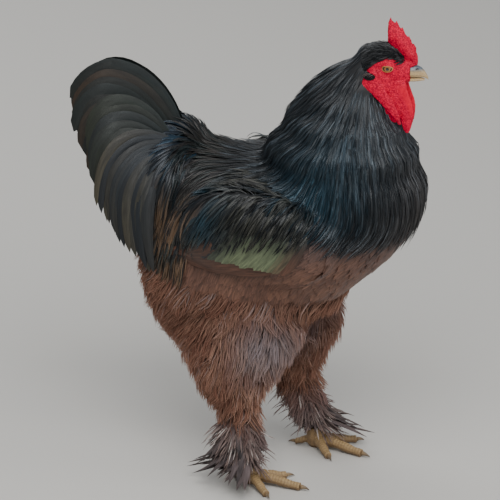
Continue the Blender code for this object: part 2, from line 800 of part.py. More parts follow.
def make_saddle(torso, wings, wing_room, chance, feather_paint):
    """Saddle: a thin core over the back that carries hackles falling down the rear flanks."""

    def cast(bed, place):
        x, angle = place[:2]
        out = Vector((0.0, math.sin(angle), math.cos(angle)))
        return bed.ray_cast(Vector((x, 0.0, SADDLE_CENTRE)) + out * 0.4, -out)[0], out

    def thickness(place):
        along, across = place[2:]
        return 0.002 + SADDLE_THICK * (1 - abs(2 * across - 1) ** 4) * min(1.0, 0.2 + 2 * along)

    rows = []
    for i, (x, reach) in enumerate(spread(SADDLE, 9)):
        rows.append([(x, math.radians(reach) * (2 * j / 10 - 1), i / 8, j / 10) for j in range(11)])
    saddle = patch("saddle", rows, thickness, surface_of(torso), cast, feather_paint)
    bed = surface_of(saddle, torso, *wings)
    plans = []
    for x, count, reach, length, width in SADDLE_ROWS:
        for k in range(2 * count + 1):
            share = k / count - 1
            if x < SADDLE_PARTING[0] and abs(share) < SADDLE_PARTING[1]:
                continue
            angle = math.radians(reach) * share
            start = cast(bed, (x, angle))[0]
            down = Vector((0.0, math.cos(angle) * share, -abs(math.sin(angle))))
            heading = Vector((-1.0, 0.0, 0.0)) + down * abs(share) * (1.0 + abs(angle))
            long = length * chance.uniform(0.92, 1.08) * (0.60 + 0.50 * abs(share))
            places, outs = trail(bed, start, heading, long, SADDLE_LIFTS, sag=0.10)
            plans.append((places, outs, blade_widths(width), VANE_THICK, VANE_CROWN))
    room = fledge(saddle, "saddle_hackle", plans)
    combine(saddle, [grown(torso), *copies(wing_room)], "DIFFERENCE")
    return room


# Stations of the tail's core: x, z of the middle, half height, half width
TAIL_CORE = (
    (-0.120, 0.440, 0.030, 0.036),
    (-0.145, 0.440, 0.055, 0.052),
    (-0.170, 0.452, 0.070, 0.055),
    (-0.195, 0.470, 0.060, 0.044),
    (-0.215, 0.485, 0.030, 0.024),
)

# Feathers on one side of the tail, from the topmost down, each an arch from its root over the place that
# bends it to its tip: how many, three stations each of root, bend and tip as (x, y, z), width, and the
# direction that the blade faces
TAIL_GROUPS = (
    (5, ((-0.150, 0.008, 0.478), (-0.160, 0.022, 0.468), (-0.166, 0.036, 0.452)),
     ((-0.176, 0.010, 0.612), (-0.222, 0.028, 0.578), (-0.216, 0.048, 0.506)),
     ((-0.264, 0.012, 0.578), (-0.304, 0.036, 0.528), (-0.262, 0.062, 0.436)), 0.042, (0.05, 1.0, 0.12)),
    (4, ((-0.162, 0.042, 0.490), (-0.160, 0.047, 0.474), (-0.158, 0.050, 0.454)),
     ((-0.234, 0.066, 0.545), (-0.228, 0.084, 0.498), (-0.200, 0.090, 0.464)),
     ((-0.252, 0.090, 0.455), (-0.226, 0.102, 0.378), (-0.168, 0.112, 0.322)), 0.033, (0.25, 1.0, 0.15)),
)
TAIL_STEPS = (0.0, 0.30, 0.62, 0.90, 1.0)
TAIL_WIDTHS = (0.45, 0.90, 1.0, 0.80)


def make_tail(torso, saddle_room, feather_paint):
    """Tail: a core that carries broad upright feathers and, beside them, sickles that arch over and hang."""
    rings = []
    for x, z, height, half in spread(TAIL_CORE, 8):
        rings.append([Vector((x, across, z + up)) for across, up in oval(16, half, height, height)])
    tail = loft("tail", rings, feather_paint)
    plans = []
    for outward in SIDES.values():
        for count, roots, bends, tips, width, facing in TAIL_GROUPS:
            out = Vector((facing[0], facing[1] * outward, facing[2])).normalized()
            for trio in zip(*(spread(stations, count) for stations in (roots, bends, tips))):
                root, bend, tip = (Vector((x, y * outward, z)) for x, y, z in trio)
                places = [root * (1 - t) ** 2 + bend * (2 * t * (1 - t)) + tip * t * t for t in TAIL_STEPS]
                widths = [width * share for share in TAIL_WIDTHS]
                plans.append((places, [out] * 4, widths, TAIL_VANE_THICK, TAIL_VANE_CROWN))
    fledge(tail, "tail_feather", plans)
    return combine(tail, [grown(torso), *copies(saddle_room)], "DIFFERENCE")


def empty(name, place, turn=0.0):
    """An empty that carries pieces."""
    made = bpy.data.objects.new(name, None)
    collection("brahma_cock").objects.link(made)
    made.location = place
    made.rotation_euler = (0.0, 0.0, turn)
    return made


def centre_on_floor(root):
    """Moves the whole bird so that the origin is below the middle of its box, on the floor."""
    bpy.context.view_layer.update()
    solids = [obj for obj in collection("brahma_cock").objects if obj.type == "MESH"]
    corners = [obj.matrix_world @ vert.co for obj in solids for vert in obj.data.vertices]
    middle = [(min(c[k] for c in corners) + max(c[k] for c in corners)) / 2 for k in range(2)]
    root.location = (-middle[0], -middle[1], -min(c.z for c in corners))


def main():
    """Builds the bird."""
    clear_scene()
    feather_paint = material("plumage", PLUMAGE, 0.45)
    fluff_paint = material("fluff", FLUFF, 0.9)
    red_paint = material("red_skin", RED_SKIN, 0.5)
    horn_paint = material("horn", HORN, 0.4)
    skin_paint = material("shank_skin", SHANK_SKIN, 0.6)
    iris_paint = material("iris", IRIS, 0.15)
    chance = random.Random(7)
    root = empty("cock", (0.0, 0.0, 0.0))
    head_frame = empty("head_frame", EYE_LEVEL, HEAD_TURN)
    bpy.context.view_layer.update()

    torso = make_torso(feather_paint)
    head = make_head(head_frame, red_paint)
    upper = make_beak("beak_upper", BEAK_UPPER, head_frame, horn_paint)
    make_beak("beak_lower", BEAK_LOWER, head_frame, horn_paint)
    make_comb(head_frame, head, upper, red_paint)
    face = [head]
    for side, outward in SIDES.items():
        make_eye(side, head_frame, iris_paint)
        wattle = make_lobe("wattle_" + side, WATTLE, WATTLE_SIDE, outward, head_frame, red_paint, [head])
        cutters = [head, wattle]
        earlobe = make_lobe("earlobe_" + side, EARLOBE, EARLOBE_SIDE, outward, head_frame, red_paint, cutters)
        face += [wattle, earlobe]
    wings, wing_room = [], []
    for side in SIDES:
        wing, room = make_wing(side, torso, chance, feather_paint)
        wings.append(wing)
        wing_room += room
    saddle_room = make_saddle(torso, wings, wing_room, chance, feather_paint)
    make_neck(torso, wings, wing_room + saddle_room, face, chance, feather_paint)
    make_tail(torso, saddle_room, feather_paint)
    for side in SIDES:
        make_thigh(side, torso, fluff_paint)
        make_shank(side, chance, fluff_paint)
        foot_frame = empty("foot_frame_" + side, FOOT[side], FOOT_YAW[side])
        bpy.context.view_layer.update()
        make_foot(side, foot_frame, skin_paint)
        for toe in TOES:
            make_claw(side, toe, foot_frame, horn_paint)
    for cutter in list(collection("cutters").objects):
        bpy.data.objects.remove(cutter)
    for obj in collection("brahma_cock").objects:
        if obj.parent is None and obj is not root:
            obj.parent = root
    centre_on_floor(root)


main()
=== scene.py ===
"""Looks of a standing Brahma cock: feathered body, bare red head, horn beak and claws, on a pale floor.

Lengths are in metres. Places are in the bird's own frame: +X is the way it faces, +Y its left side, +Z up,
and the datum is on the floor midway between its feet. Every piece is then moved by the datum's place in the
frame of the solids.
"""
import logging
import math
from collections.abc import Callable
from dataclasses import dataclass, field
from enum import Enum

import bmesh
import bpy
import numpy as np
from mathutils import Matrix, Vector, noise
from mathutils.bvhtree import BVHTree
from mathutils.kdtree import KDTree


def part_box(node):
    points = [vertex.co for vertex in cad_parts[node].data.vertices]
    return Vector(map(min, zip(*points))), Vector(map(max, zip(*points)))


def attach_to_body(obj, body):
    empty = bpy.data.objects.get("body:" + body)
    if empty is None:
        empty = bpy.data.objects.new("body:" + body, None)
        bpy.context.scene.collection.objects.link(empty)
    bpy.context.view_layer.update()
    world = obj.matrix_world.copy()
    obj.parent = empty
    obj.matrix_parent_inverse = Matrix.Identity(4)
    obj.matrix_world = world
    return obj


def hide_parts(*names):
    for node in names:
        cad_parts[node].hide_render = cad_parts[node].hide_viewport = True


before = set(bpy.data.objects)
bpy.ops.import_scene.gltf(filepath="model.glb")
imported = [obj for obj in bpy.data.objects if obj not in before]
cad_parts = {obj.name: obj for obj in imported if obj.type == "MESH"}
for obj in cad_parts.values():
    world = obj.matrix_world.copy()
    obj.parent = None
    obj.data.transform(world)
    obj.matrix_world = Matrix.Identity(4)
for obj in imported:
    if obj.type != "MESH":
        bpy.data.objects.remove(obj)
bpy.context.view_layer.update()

log = logging.getLogger("brahma_cock")

EYE_MIDDLE = Vector((0.1540, 0.0, 0.6245))
HEAD_TURN = math.radians(8.0)
UP = Vector((0.0, 0.0, 1.0))


class Side(Enum):
    """The two sides of the bird, with the sign of their Y."""

    RIGHT = -1.0
    LEFT = 1.0

    @property
    def word(self) -> str:
        """The side's name as the solids use it."""
        return self.name.lower()


def eye_centre(side: Side) -> Vector:
    """Middle of one eyeball in the frame of the solids."""
    low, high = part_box("eye_" + side.word)
    return (low + high) / 2


def find_datum() -> Vector:
    """Place of the bird's datum in the frame of the solids, read from its eyes."""
    middle = (eye_centre(Side.RIGHT) + eye_centre(Side.LEFT)) / 2
    return Vector((middle.x - EYE_MIDDLE.x, middle.y - EYE_MIDDLE.y, 0.0))


DATUM = find_datum()


def linear(code: str) -> tuple[float, float, float, float]:
    """Linear colour of an sRGB hex value.

    Args:
        code: Six hex digits after a hash.

    Returns:
        Red, green, blue and full alpha.
    """
    values = [int(code[k:k + 2], 16) / 255 for k in (1, 3, 5)]
    bent = [v / 12.92 if v <= 0.04045 else ((v + 0.055) / 1.055) ** 2.4 for v in values]
    return (bent[0], bent[1], bent[2], 1.0)


def add_node(
    tree: bpy.types.NodeTree, kind: str, settings: dict | None = None, **links: object,
) -> bpy.types.Node:
    """Adds a node, sets it and links or fills its inputs.

    Args:
        tree: The material's node tree.
        kind: Blender's name of the node without ShaderNode.
        settings: The node's own settings by name.
        links: Inputs by name, with spaces as underscores, each an output socket or a value. An input that
            is known by its number is given as i0, i1 and so on.

    Returns:
        The new node.
    """
    node = tree.nodes.new("ShaderNode" + kind)
    for name, value in (settings or {}).items():
        setattr(node, name, value)
    for name, value in links.items():
        key = int(name[1:]) if name[0] == "i" and name[1:].isdigit() else name.replace("_", " ")
        socket = node.inputs[key]
        if isinstance(value, bpy.types.NodeSocket):
            tree.links.new(value, socket)
        else:
            socket.default_value = value
    return node


def new_material(name: str) -> tuple[bpy.types.Material, bpy.types.NodeTree, bpy.types.Node]:
    """A material with its tree and its Principled shader."""
    made = bpy.data.materials.new(name)
    made.use_nodes = True
    return made, made.node_tree, made.node_tree.nodes["Principled BSDF"]


@dataclass(frozen=True)
class FeatherFinish:
    """Feather keratin: barbs lie side by side, so it shines in streaks along them. Its colour goes lighter
    and darker in the same streaks, partly the barbs' own tone and partly painted highlight.

    The colour is the piece's own tint. The vane attribute holds the place across, the distance along in
    millimetres and a number of each feather.
    """

    name: str
    roughness: float
    metallic: float
    sheen: float
    sheen_colour: str
    streak: float
    # Real barbs stand about 0.3 mm apart. They are drawn coarser, so that they show
    barb_mm: float = 1.1
    barb_slant: float = 4.0
    barb_height: float = 0.0003
    bump: float = 0.25
    streaks_across: float = 3.4
    streaks_along: float = 0.035
    gloss_play: float = 0.08

    def build(self) -> bpy.types.Material:
        """Makes the material."""
        made, tree, shader = new_material(self.name)
        tint = add_node(tree, "Attribute", {"attribute_name": "tint"})
        vane = add_node(tree, "Attribute", {"attribute_name": "vane"})
        parts = add_node(tree, "SeparateXYZ", i0=vane.outputs["Vector"])
        across = add_node(
            tree, "Math", {"operation": "MULTIPLY"}, i0=parts.outputs["X"], i1=self.streaks_across)
        along = add_node(
            tree, "Math", {"operation": "MULTIPLY"}, i0=parts.outputs["Y"], i1=self.streaks_along)
        spot = add_node(tree, "CombineXYZ", i0=across.outputs[0], i1=along.outputs[0], i2=parts.outputs["Z"])
        streaks = add_node(tree, "TexNoise", i0=spot.outputs[0], Scale=1.0, Detail=3.0, Roughness=0.6)
        # Partly painted highlight: the colour is lighter along the streaks, which are also glossier, and
        # darker between them as the barbs' own tone
        band = add_node(
            tree, "MapRange", Value=streaks.outputs["Fac"], From_Min=0.34, From_Max=0.70,
            To_Min=1.0 - self.streak, To_Max=1.0 + 1.6 * self.streak)
        shade = add_node(
            tree, "VectorMath", {"operation": "SCALE"},
            i0=tint.outputs["Color"], Scale=band.outputs["Result"])
        tree.links.new(shade.outputs[0], shader.inputs["Base Color"])
        slant = add_node(tree, "Math", {"operation": "ABSOLUTE"}, i0=parts.outputs["X"])
        lean = add_node(tree, "Math", {"operation": "MULTIPLY"}, i0=slant.outputs[0], i1=-self.barb_slant)
        reach = add_node(tree, "Math", {"operation": "ADD"}, i0=parts.outputs["Y"], i1=lean.outputs[0])
        phase = add_node(
            tree, "Math", {"operation": "MULTIPLY"}, i0=reach.outputs[0], i1=2 * math.pi / self.barb_mm)
        wave = add_node(tree, "Math", {"operation": "SINE"}, i0=phase.outputs[0])
        bump = add_node(
            tree, "Bump", Strength=self.bump, Distance=self.barb_height, Height=wave.outputs[0])
        tree.links.new(bump.outputs[0], shader.inputs["Normal"])
        gloss = add_node(
            tree, "MapRange", Value=streaks.outputs["Fac"], From_Min=0.3, From_Max=0.7,
            To_Min=self.roughness + self.gloss_play, To_Max=self.roughness - self.gloss_play)
        tree.links.new(gloss.outputs["Result"], shader.inputs["Roughness"])
        shader.inputs["Metallic"].default_value = self.metallic
        shader.inputs["Sheen Weight"].default_value = self.sheen
        shader.inputs["Sheen Tint"].default_value = linear(self.sheen_colour)
        shader.inputs["Sheen Roughness"].default_value = 0.4
        return made


def deselect_all() -> None:
    """Leaves nothing selected."""
    for obj in bpy.context.selected_objects:
        obj.select_set(False)


def only(obj: bpy.types.Object) -> bpy.types.Object:
    """Makes the object the one selected and active object."""
    deselect_all()
    obj.select_set(True)
    bpy.context.view_layer.objects.active = obj
    return obj


def apply_all(obj: bpy.types.Object) -> None:
    """Applies every modifier of the object in order."""
    only(obj)
    for modifier in list(obj.modifiers):
        bpy.ops.object.modifier_apply(modifier=modifier.name)


def smooth_faces(obj: bpy.types.Object) -> None:
    """Shades every face of the object smooth."""
    for polygon in obj.data.polygons:
        polygon.use_smooth = True


def unwrap(obj: bpy.types.Object) -> None:
    """Gives a piece the map that its colours are baked on."""
    only(obj)
    bpy.ops.object.mode_set(mode="EDIT")
    bpy.ops.mesh.select_all(action="SELECT")
    bpy.ops.uv.smart_project(angle_limit=math.radians(66), island_margin=0.0)
    bpy.ops.object.mode_set(mode="OBJECT")
    obj.data.uv_layers[0].name = "OFBake"


def round_off(obj: bpy.types.Object, voxel: float) -> None:
    """Rounds the edges of a solid and unwraps it.

    Args:
        obj: The solid's copy.
        voxel: The size of its new faces.
    """
    refine = obj.modifiers.new("round", "REMESH")
    refine.mode = "VOXEL"
    refine.voxel_size = voxel
    soften = obj.modifiers.new("soften", "SMOOTH")
    soften.iterations = 5
    apply_all(obj)
    unwrap(obj)


def read(items: bpy.types.bpy_prop_collection, name: str, width: int, kind: type = float) -> np.ndarray:
    """Reads one value of every item of a mesh.

    Args:
        items: The mesh's vertices, triangles or map corners.
        name: The value's name.
        width: How many numbers it has.
        kind: Their type.

    Returns:
        The values, one in each row.
    """
    values = np.empty(len(items) * width, kind)
    items.foreach_get(name, values)
    return values.reshape(-1, width)


def settle(obj: bpy.types.Object) -> None:
    """Moves the object's place into its mesh, so that it lies at the origin, unturned and unscaled."""
    only(obj)
    bpy.ops.object.transform_apply(location=True, rotation=True, scale=True)


def copy_solid(node: str, name: str) -> bpy.types.Object:
    """A copy of a solid of the frame, with its loose triangles merged.

    Args:
        node: The solid's name.
        name: The copy's name.

    Returns:
        The copy.
    """
    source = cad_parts[node]
    made = bpy.data.objects.new(name, source.data.copy())
    made.data.materials.clear()
    bpy.context.scene.collection.objects.link(made)
    only(made)
    bpy.ops.object.mode_set(mode="EDIT")
    bpy.ops.mesh.select_all(action="SELECT")
    bpy.ops.mesh.remove_doubles(threshold=0.00002)
    bpy.ops.mesh.normals_make_consistent(inside=False)
    bpy.ops.object.mode_set(mode="OBJECT")
    return made


def join(pieces: list[bpy.types.Object], name: str) -> bpy.types.Object:
    """Joins the pieces into the first one and names it."""
    only(pieces[0])
    for piece in pieces[1:]:
        piece.select_set(True)
    bpy.ops.object.join()
    joined = bpy.context.view_layer.objects.active
    joined.name = name
    return joined


def ball(
    place: Vector, radii: tuple[float, float, float], turn: tuple[float, float, float] = (0, 0, 0),
) -> bpy.types.Object:
    """An ellipsoid, as a form to be melted into a larger one.

    Args:
        place: Its middle in the bird's own frame.
        radii: Its half sizes.
        turn: Its turn about X, Y and Z in radians.

    Returns:
        The ellipsoid.
    """
    deselect_all()
    bpy.ops.mesh.primitive_uv_sphere_add(
        segments=32, ring_count=20, radius=1.0, location=place + DATUM, rotation=turn)
    made = bpy.context.object
    made.scale = radii
    settle(made)
    return made


def rod(start: Vector, end: Vector, start_radius: float, end_radius: float) -> bpy.types.Object:
    """A round cone between two places of the bird's own frame, as a form to be melted into a larger one."""
    deselect_all()
    line = end - start
    turn = line.to_track_quat("Z", "Y").to_euler()
    bpy.ops.mesh.primitive_cone_add(
        vertices=28, radius1=start_radius, radius2=end_radius, depth=line.length,
        location=(start + end) / 2 + DATUM, rotation=turn)
    made = bpy.context.object
    settle(made)
    return made


def melt(
    pieces: list[bpy.types.Object], name: str, voxel: float, smooth: int, shrink: float,
) -> bpy.types.Object:
    """Joins forms into one closed surface, smooths it and draws it in.

    Args:
        pieces: The forms, which overlap.
        name: The name of what comes out.
        voxel: The size of the new faces.
        smooth: How many rounds of smoothing.
        shrink: How far the surface is drawn in.

    Returns:
        The joined surface.
    """
    made = join(pieces, name)
    remesh = made.modifiers.new("melt", "REMESH")
    remesh.mode = "VOXEL"
    remesh.voxel_size = voxel
    soften = made.modifiers.new("soften", "SMOOTH")
    soften.factor = 0.5
    soften.iterations = smooth
    if shrink:
        draw = made.modifiers.new("draw_in", "DISPLACE")
        draw.strength = -shrink
        draw.mid_level = 0.0
    apply_all(made)
    smooth_faces(made)
    return made


@dataclass(frozen=True)
class Swell:
    """An ellipsoid that fills out the skin, on the middle line or on both sides of it."""

    place: tuple[float, float, float]
    radii: tuple[float, float, float]
    lean: float = 0.0

    def form(self, side: Side = Side.LEFT) -> bpy.types.Object:
        """Makes it on one side, leaning by its angle in degrees."""
        x, y, z = self.place
        return ball(Vector((x, side.value * y, z)), self.radii, (0.0, math.radians(self.lean), 0.0))


@dataclass
class Skin:
    """The bird's feathered skin: one surface for torso, neck, legs and the roots of wings and tail."""

    coat_depth: float = 0.009
    voxel: float = 0.0045
    smoothing: int = 18
    # Slices of the neck from the head down: x, z, half length and half width
    neck: tuple[tuple[float, float, float, float], ...] = (
        (0.126, 0.636, 0.026, 0.022),
        (0.117, 0.612, 0.036, 0.031),
        (0.107, 0.588, 0.050, 0.043),
        (0.098, 0.560, 0.070, 0.060),
        (0.094, 0.528, 0.093, 0.080),
        (0.089, 0.492, 0.113, 0.098),
        (0.088, 0.450, 0.118, 0.106),
    )
    neck_foot: float = 0.045
    # Line of the nape from the back up: x, z and radius
    nape: tuple[tuple[float, float, float], ...] = (
        (0.040, 0.5215, 0.042), (0.062, 0.5530, 0.041), (0.096, 0.5965, 0.036), (0.108, 0.6180, 0.027))
    over_wing: Swell = Swell((-0.012, 0.086, 0.418), (0.095, 0.031, 0.040))
    wing: Swell = Swell((-0.006, 0.113, 0.388), (0.122, 0.029, 0.074), 12.0)
    tail_root: tuple[Swell, ...] = (
        Swell((-0.165, 0.0, 0.455), (0.052, 0.050, 0.062)),
        Swell((-0.160, 0.0, 0.425), (0.062, 0.098, 0.092)),
    )
    hocks: dict[Side, Vector] = field(default_factory=lambda: {
        Side.RIGHT: Vector((-0.051, -0.078, 0.124)), Side.LEFT: Vector((-0.010, 0.077, 0.111))})
    feet: dict[Side, Vector] = field(default_factory=lambda: {
        Side.RIGHT: Vector((-0.026, -0.078, 0.0)), Side.LEFT: Vector((0.029, 0.077, 0.0))})
    ankle: float = 0.026
    shank_radii: tuple[float, float] = (0.034, 0.020)
    shank_above_hock: float = 0.03

    def build(self) -> bpy.types.Object:
        """Melts the forms of the body into one skin and unwraps it.

        Returns:
            The skin.
        """
        forms = [copy_solid(name, "form") for name in ("torso", "thigh_left", "thigh_right")]
        for (x, z, length, width), (_, low, _, _) in zip(self.neck, self.neck[1:]):
            forms.append(ball(Vector((x, 0.0, z)), (length, width, 0.9 * (z - low) + 0.006)))
        x, z, length, width = self.neck[-1]
        forms.append(ball(Vector((x, 0.0, z)), (length, width, self.neck_foot)))
        for (x, z, radius), (next_x, next_z, next_radius) in zip(self.nape, self.nape[1:]):
            forms.append(rod(Vector((x, 0.0, z)), Vector((next_x, 0.0, next_z)), radius, next_radius))
        forms += [self.over_wing.form(side) for side in Side]
        forms += [swell.form() for swell in self.tail_root]
        for side in Side:
            forms.append(self.wing.form(side))
            hock, foot = self.hocks[side], self.feet[side]
            forms.append(rod(hock + UP * self.shank_above_hock, foot + UP * self.ankle, *self.shank_radii))
        skin = melt(forms, "body_skin", self.voxel, self.smoothing, self.coat_depth)
        unwrap(skin)
        return skin


@dataclass
class Bed:
    """The skin as feathers use it: its nearest place and direction outwards, and its unwrap."""

    skin: bpy.types.Object

    def __post_init__(self) -> None:
        """Reads the skin's faces, their areas and their places on the unwrap."""
        mesh = self.skin.data
        mesh.calc_loop_triangles()
        self.points = read(mesh.vertices, "co", 3)
        self.corners = read(mesh.loop_triangles, "vertices", 3, int)
        loops = read(mesh.loop_triangles, "loops", 3, int)
        self.unwrap = read(mesh.uv_layers["OFBake"].data, "uv", 2)[loops]
        a, b, c = (self.points[self.corners[:, k]] for k in range(3))
        self.areas = np.linalg.norm(np.cross(b - a, c - a), axis=1) / 2
        self.tree = BVHTree.FromPolygons(self.points.tolist(), self.corners.tolist())

    def scatter(self, count: int, chance: np.random.Generator) -> tuple[np.ndarray, np.ndarray]:
        """Random places on the skin.

        Args:
            count: How many.
            chance: The source of random numbers.

        Returns:
            The places in the bird's own frame, and the place of each on the unwrap.
        """
        faces = chance.choice(len(self.areas), count, p=self.areas / self.areas.sum())
        share = chance.random((count, 2))
        over = share.sum(1) > 1
        share[over] = 1 - share[over]
        weights = np.stack([1 - share.sum(1), share[:, 0], share[:, 1]], 1)
        corners = self.points[self.corners[faces]]
        places = (corners * weights[:, :, None]).sum(1) - np.array(DATUM)
        return places, (self.unwrap[faces] * weights[:, :, None]).sum(1)

    def nearest(self, place: Vector) -> tuple[Vector, Vector]:
        """The nearest place of the skin and its direction outwards, in the bird's own frame."""
        found, out, _, _ = self.tree.find_nearest(place + DATUM)
        return found - DATUM, out

    def nearest_all(self, places: np.ndarray) -> tuple[np.ndarray, np.ndarray]:
        """The nearest place of the skin and its direction outwards for each of many places."""
        shift = np.array(DATUM)
        find = self.tree.find_nearest
        found = [find(place)[:2] for place in (places + shift).tolist()]
        return np.array([f[0][:] for f in found]) - shift, np.array([f[1][:] for f in found])

    def unwrap_at(self, place: Vector) -> np.ndarray:
        """The place on the unwrap of the skin's nearest face."""
        _, _, index, _ = self.tree.find_nearest(place + DATUM)
        return self.unwrap[index].mean(0)


def thin_out(places: np.ndarray, spacing: np.ndarray) -> np.ndarray:
    """Chooses places that keep their spacing from one another.

    Args:
        places: Places in random order.
        spacing: The least distance of each from the ones already chosen.

    Returns:
        The numbers of the chosen places.
    """
    cell = float(spacing.max())
    cells: dict[tuple[int, int, int], list[int]] = {}
    chosen = []
    keys = np.floor(places / cell).astype(int)
    for k in range(len(places)):
        key = tuple(keys[k])
        near = [
            other for i in (-1, 0, 1) for j in (-1, 0, 1) for m in (-1, 0, 1)
            for other in cells.get((key[0] + i, key[1] + j, key[2] + m), ())]
        if near:
            gap = places[near] - places[k]
            if ((gap * gap).sum(1) < spacing[k] ** 2).any():
                continue
        chosen.append(k)
        cells.setdefault(key, []).append(k)
    return np.array(chosen, int)


# Cross sections of a feather: place across as a share of its half width, height as a share of its thickness
SMALL_RING = ((-1.0, 0.0), (1.0, 0.0), (0.0, 1.0))
BROAD_RING = (
    (-1.0, 0.0), (-0.5, -1.0), (0.0, -1.0), (0.5, -1.0), (1.0, 0.0), (0.5, 1.0), (0.0, 1.6), (-0.5, 1.0))
# Size of one feather's own patch on the map, across and along
PATCH = (0.0015, 0.003)


@dataclass(frozen=True)
class Vane:
    """Shape of one kind of feather: its rows, where it is widest, how it narrows, its arch and thickness."""

    steps: int
    widest: float
    point: float
    crown: float
    thick: float
    wobble: float = 0.10
    ring: tuple[tuple[float, float], ...] = SMALL_RING

    def widths(self) -> np.ndarray:
        """Share of the full width at each row before the tip."""
        t = np.arange(self.steps) / self.steps
        rise = np.clip(0.42 + 0.58 * t / self.widest, 0, 1)
        fall = np.clip((1 - t) / (1 - self.widest), 0, 1) ** self.point
        return np.where(t < self.widest, rise, fall)


@dataclass
class Plumes:
    """Feathers of one coat piece, gathered as rows of places and then made one mesh."""

    vane: Vane
    quills: list[list[Vector]] = field(default_factory=list)
    outs: list[list[Vector]] = field(default_factory=list)
    sizes: list[float] = field(default_factory=list)
    colours: list[tuple[np.ndarray, np.ndarray]] = field(default_factory=list)
    patches: list[np.ndarray] = field(default_factory=list)

    def add(
        self, quill: list[Vector], outs: list[Vector], width: float,
        colours: tuple[np.ndarray, np.ndarray], patch: np.ndarray,
    ) -> None:
        """Adds a feather.

        Args:
            quill: Places along it from root to tip.
            outs: The direction it faces at each.
            width: Its full width.
            colours: Its colour at the root and at the tip.
            patch: The place of its root on the skin's unwrap.
        """
        self.quills.append(quill)
        self.outs.append(outs)
        self.sizes.append(width)
        self.colours.append(colours)
        self.patches.append(patch)

    def mesh(self, name: str, chance: np.random.Generator) -> bpy.types.Object:
        """Makes one object of all the feathers, each a closed blade.

        Args:
            name: The object's name.
            chance: The source of random numbers.

        Returns:
            The object, with the attributes tint and vane and the map OFBake.
        """
        quill = np.array(self.quills) + np.array(DATUM)
        out = np.array(self.outs)
        count, rows = quill.shape[:2]
        steps = rows - 1
        ahead = np.empty_like(quill)
        ahead[:, 1:-1] = quill[:, 2:] - quill[:, :-2]
        ahead[:, 0] = quill[:, 1] - quill[:, 0]
        ahead[:, -1] = quill[:, -1] - quill[:, -2]
        ahead /= np.linalg.norm(ahead, axis=2, keepdims=True)
        out = out - ahead * (out * ahead).sum(2, keepdims=True)
        out /= np.linalg.norm(out, axis=2, keepdims=True)
        side = np.cross(ahead, out)
        ring = np.array(self.vane.ring)
        points_round = len(ring)
        wobble = 1 + self.vane.wobble * chance.standard_normal((count, steps))
        half = np.array(self.sizes)[:, None] / 2 * self.vane.widths()[None, :] * wobble
        u, rise = ring[:, 0], ring[:, 1]
        body = (
            quill[:, :steps, None, :]
            + side[:, :steps, None, :] * (half[:, :, None, None] * u[None, None, :, None])
            + out[:, :steps, None, :] * (
                self.vane.thick * rise[None, None, :, None]
                - self.vane.crown * half[:, :, None, None] * (u * u)[None, None, :, None]))
        per = steps * points_round + 1
        verts = np.empty((count, per, 3))
        verts[:, :-1] = body.reshape(count, -1, 3)
        verts[:, -1] = quill[:, -1]
        faces = []
        for k in range(steps - 1):
            for j in range(points_round):
                a, b = k * points_round + j, k * points_round + (j + 1) % points_round
                c, d = b + points_round, a + points_round
                faces += [(a, b, c), (a, c, d)]
        last = (steps - 1) * points_round
        for j in range(points_round):
            faces.append((last + j, last + (j + 1) % points_round, per - 1))
        for j in range(1, points_round - 1):
            faces.append((0, j + 1, j))
        pattern = np.array(faces)[:, ::-1]
        triangles = (pattern[None] + np.arange(count)[:, None, None] * per).reshape(-1, 3)
        mesh = bpy.data.meshes.new(name)
        mesh.vertices.add(count * per)
        mesh.vertices.foreach_set("co", verts.ravel().astype(np.float32))
        mesh.loops.add(triangles.size)
        mesh.loops.foreach_set("vertex_index", triangles.ravel().astype(np.int32))
        mesh.polygons.add(len(triangles))
        mesh.polygons.foreach_set("loop_start", np.arange(0, triangles.size, 3, dtype=np.int32))
        mesh.update(calc_edges=True)
        self._paint(mesh, quill, count, per, steps, ring, chance)
        patch = np.array(self.patches)
        u_map = np.append(np.tile(u, steps), 0.0)
        v_map = np.append(np.repeat(np.arange(steps) / steps, points_round), 1.0)
        spread_uv = np.stack([u_map * PATCH[0], (v_map - 0.5) * PATCH[1]], 1)
        uv = np.clip(patch[:, None, :] + spread_uv[None], 0.0, 1.0).reshape(-1, 2)[triangles.ravel()]
        layer = mesh.uv_layers.new(name="OFBake")
        layer.data.foreach_set("uv", uv.ravel().astype(np.float32))
        made = bpy.data.objects.new(name, mesh)
        bpy.context.scene.collection.objects.link(made)
        only(made)
        bpy.ops.object.shade_smooth_by_angle(angle=math.radians(50))
        return made

    def _paint(
        self, mesh: bpy.types.Mesh, quill: np.ndarray, count: int, per: int, steps: int, ring: np.ndarray,
        chance: np.random.Generator,
    ) -> None:
        """Writes the tint and vane attributes of the mesh."""
        points_round = len(ring)
        t = np.append(np.repeat(np.arange(steps) / steps, points_round), 1.0)
        root = np.array([pair[0] for pair in self.colours])
        tip = np.array([pair[1] for pair in self.colours])
        colour = root[:, None, :] * (1 - t)[None, :, None] + tip[:, None, :] * t[None, :, None]
        rgba = np.ones((count, per, 4))
        rgba[:, :, :3] = colour
        tint = mesh.color_attributes.new("tint", "FLOAT_COLOR", "POINT")
        tint.data.foreach_set("color", rgba.ravel().astype(np.float32))
        long = np.linalg.norm(np.diff(quill, axis=1), axis=2).sum(1)
        across = np.append(np.tile(ring[:, 0], steps), 0.0)
        vane = np.empty((count, per, 3))
        vane[:, :, 0] = across
        vane[:, :, 1] = t[None, :] * long[:, None] * 1000
        vane[:, :, 2] = (chance.random(count) * 200)[:, None]
        mark = mesh.attributes.new("vane", "FLOAT_VECTOR", "POINT")
        mark.data.foreach_set("vector", vane.ravel().astype(np.float32))


def colour(code: str) -> np.ndarray:
    """Linear colour of a hex value as three numbers."""
    return np.array(linear(code)[:3])


def clamp(value: float) -> float:
    """The value kept between 0 and 1."""
    return min(1.0, max(0.0, value))


def between(ends: tuple[float, float], share: float) -> float:
    """The number a share of the way from the first end to the second."""
    return ends[0] + (ends[1] - ends[0]) * share


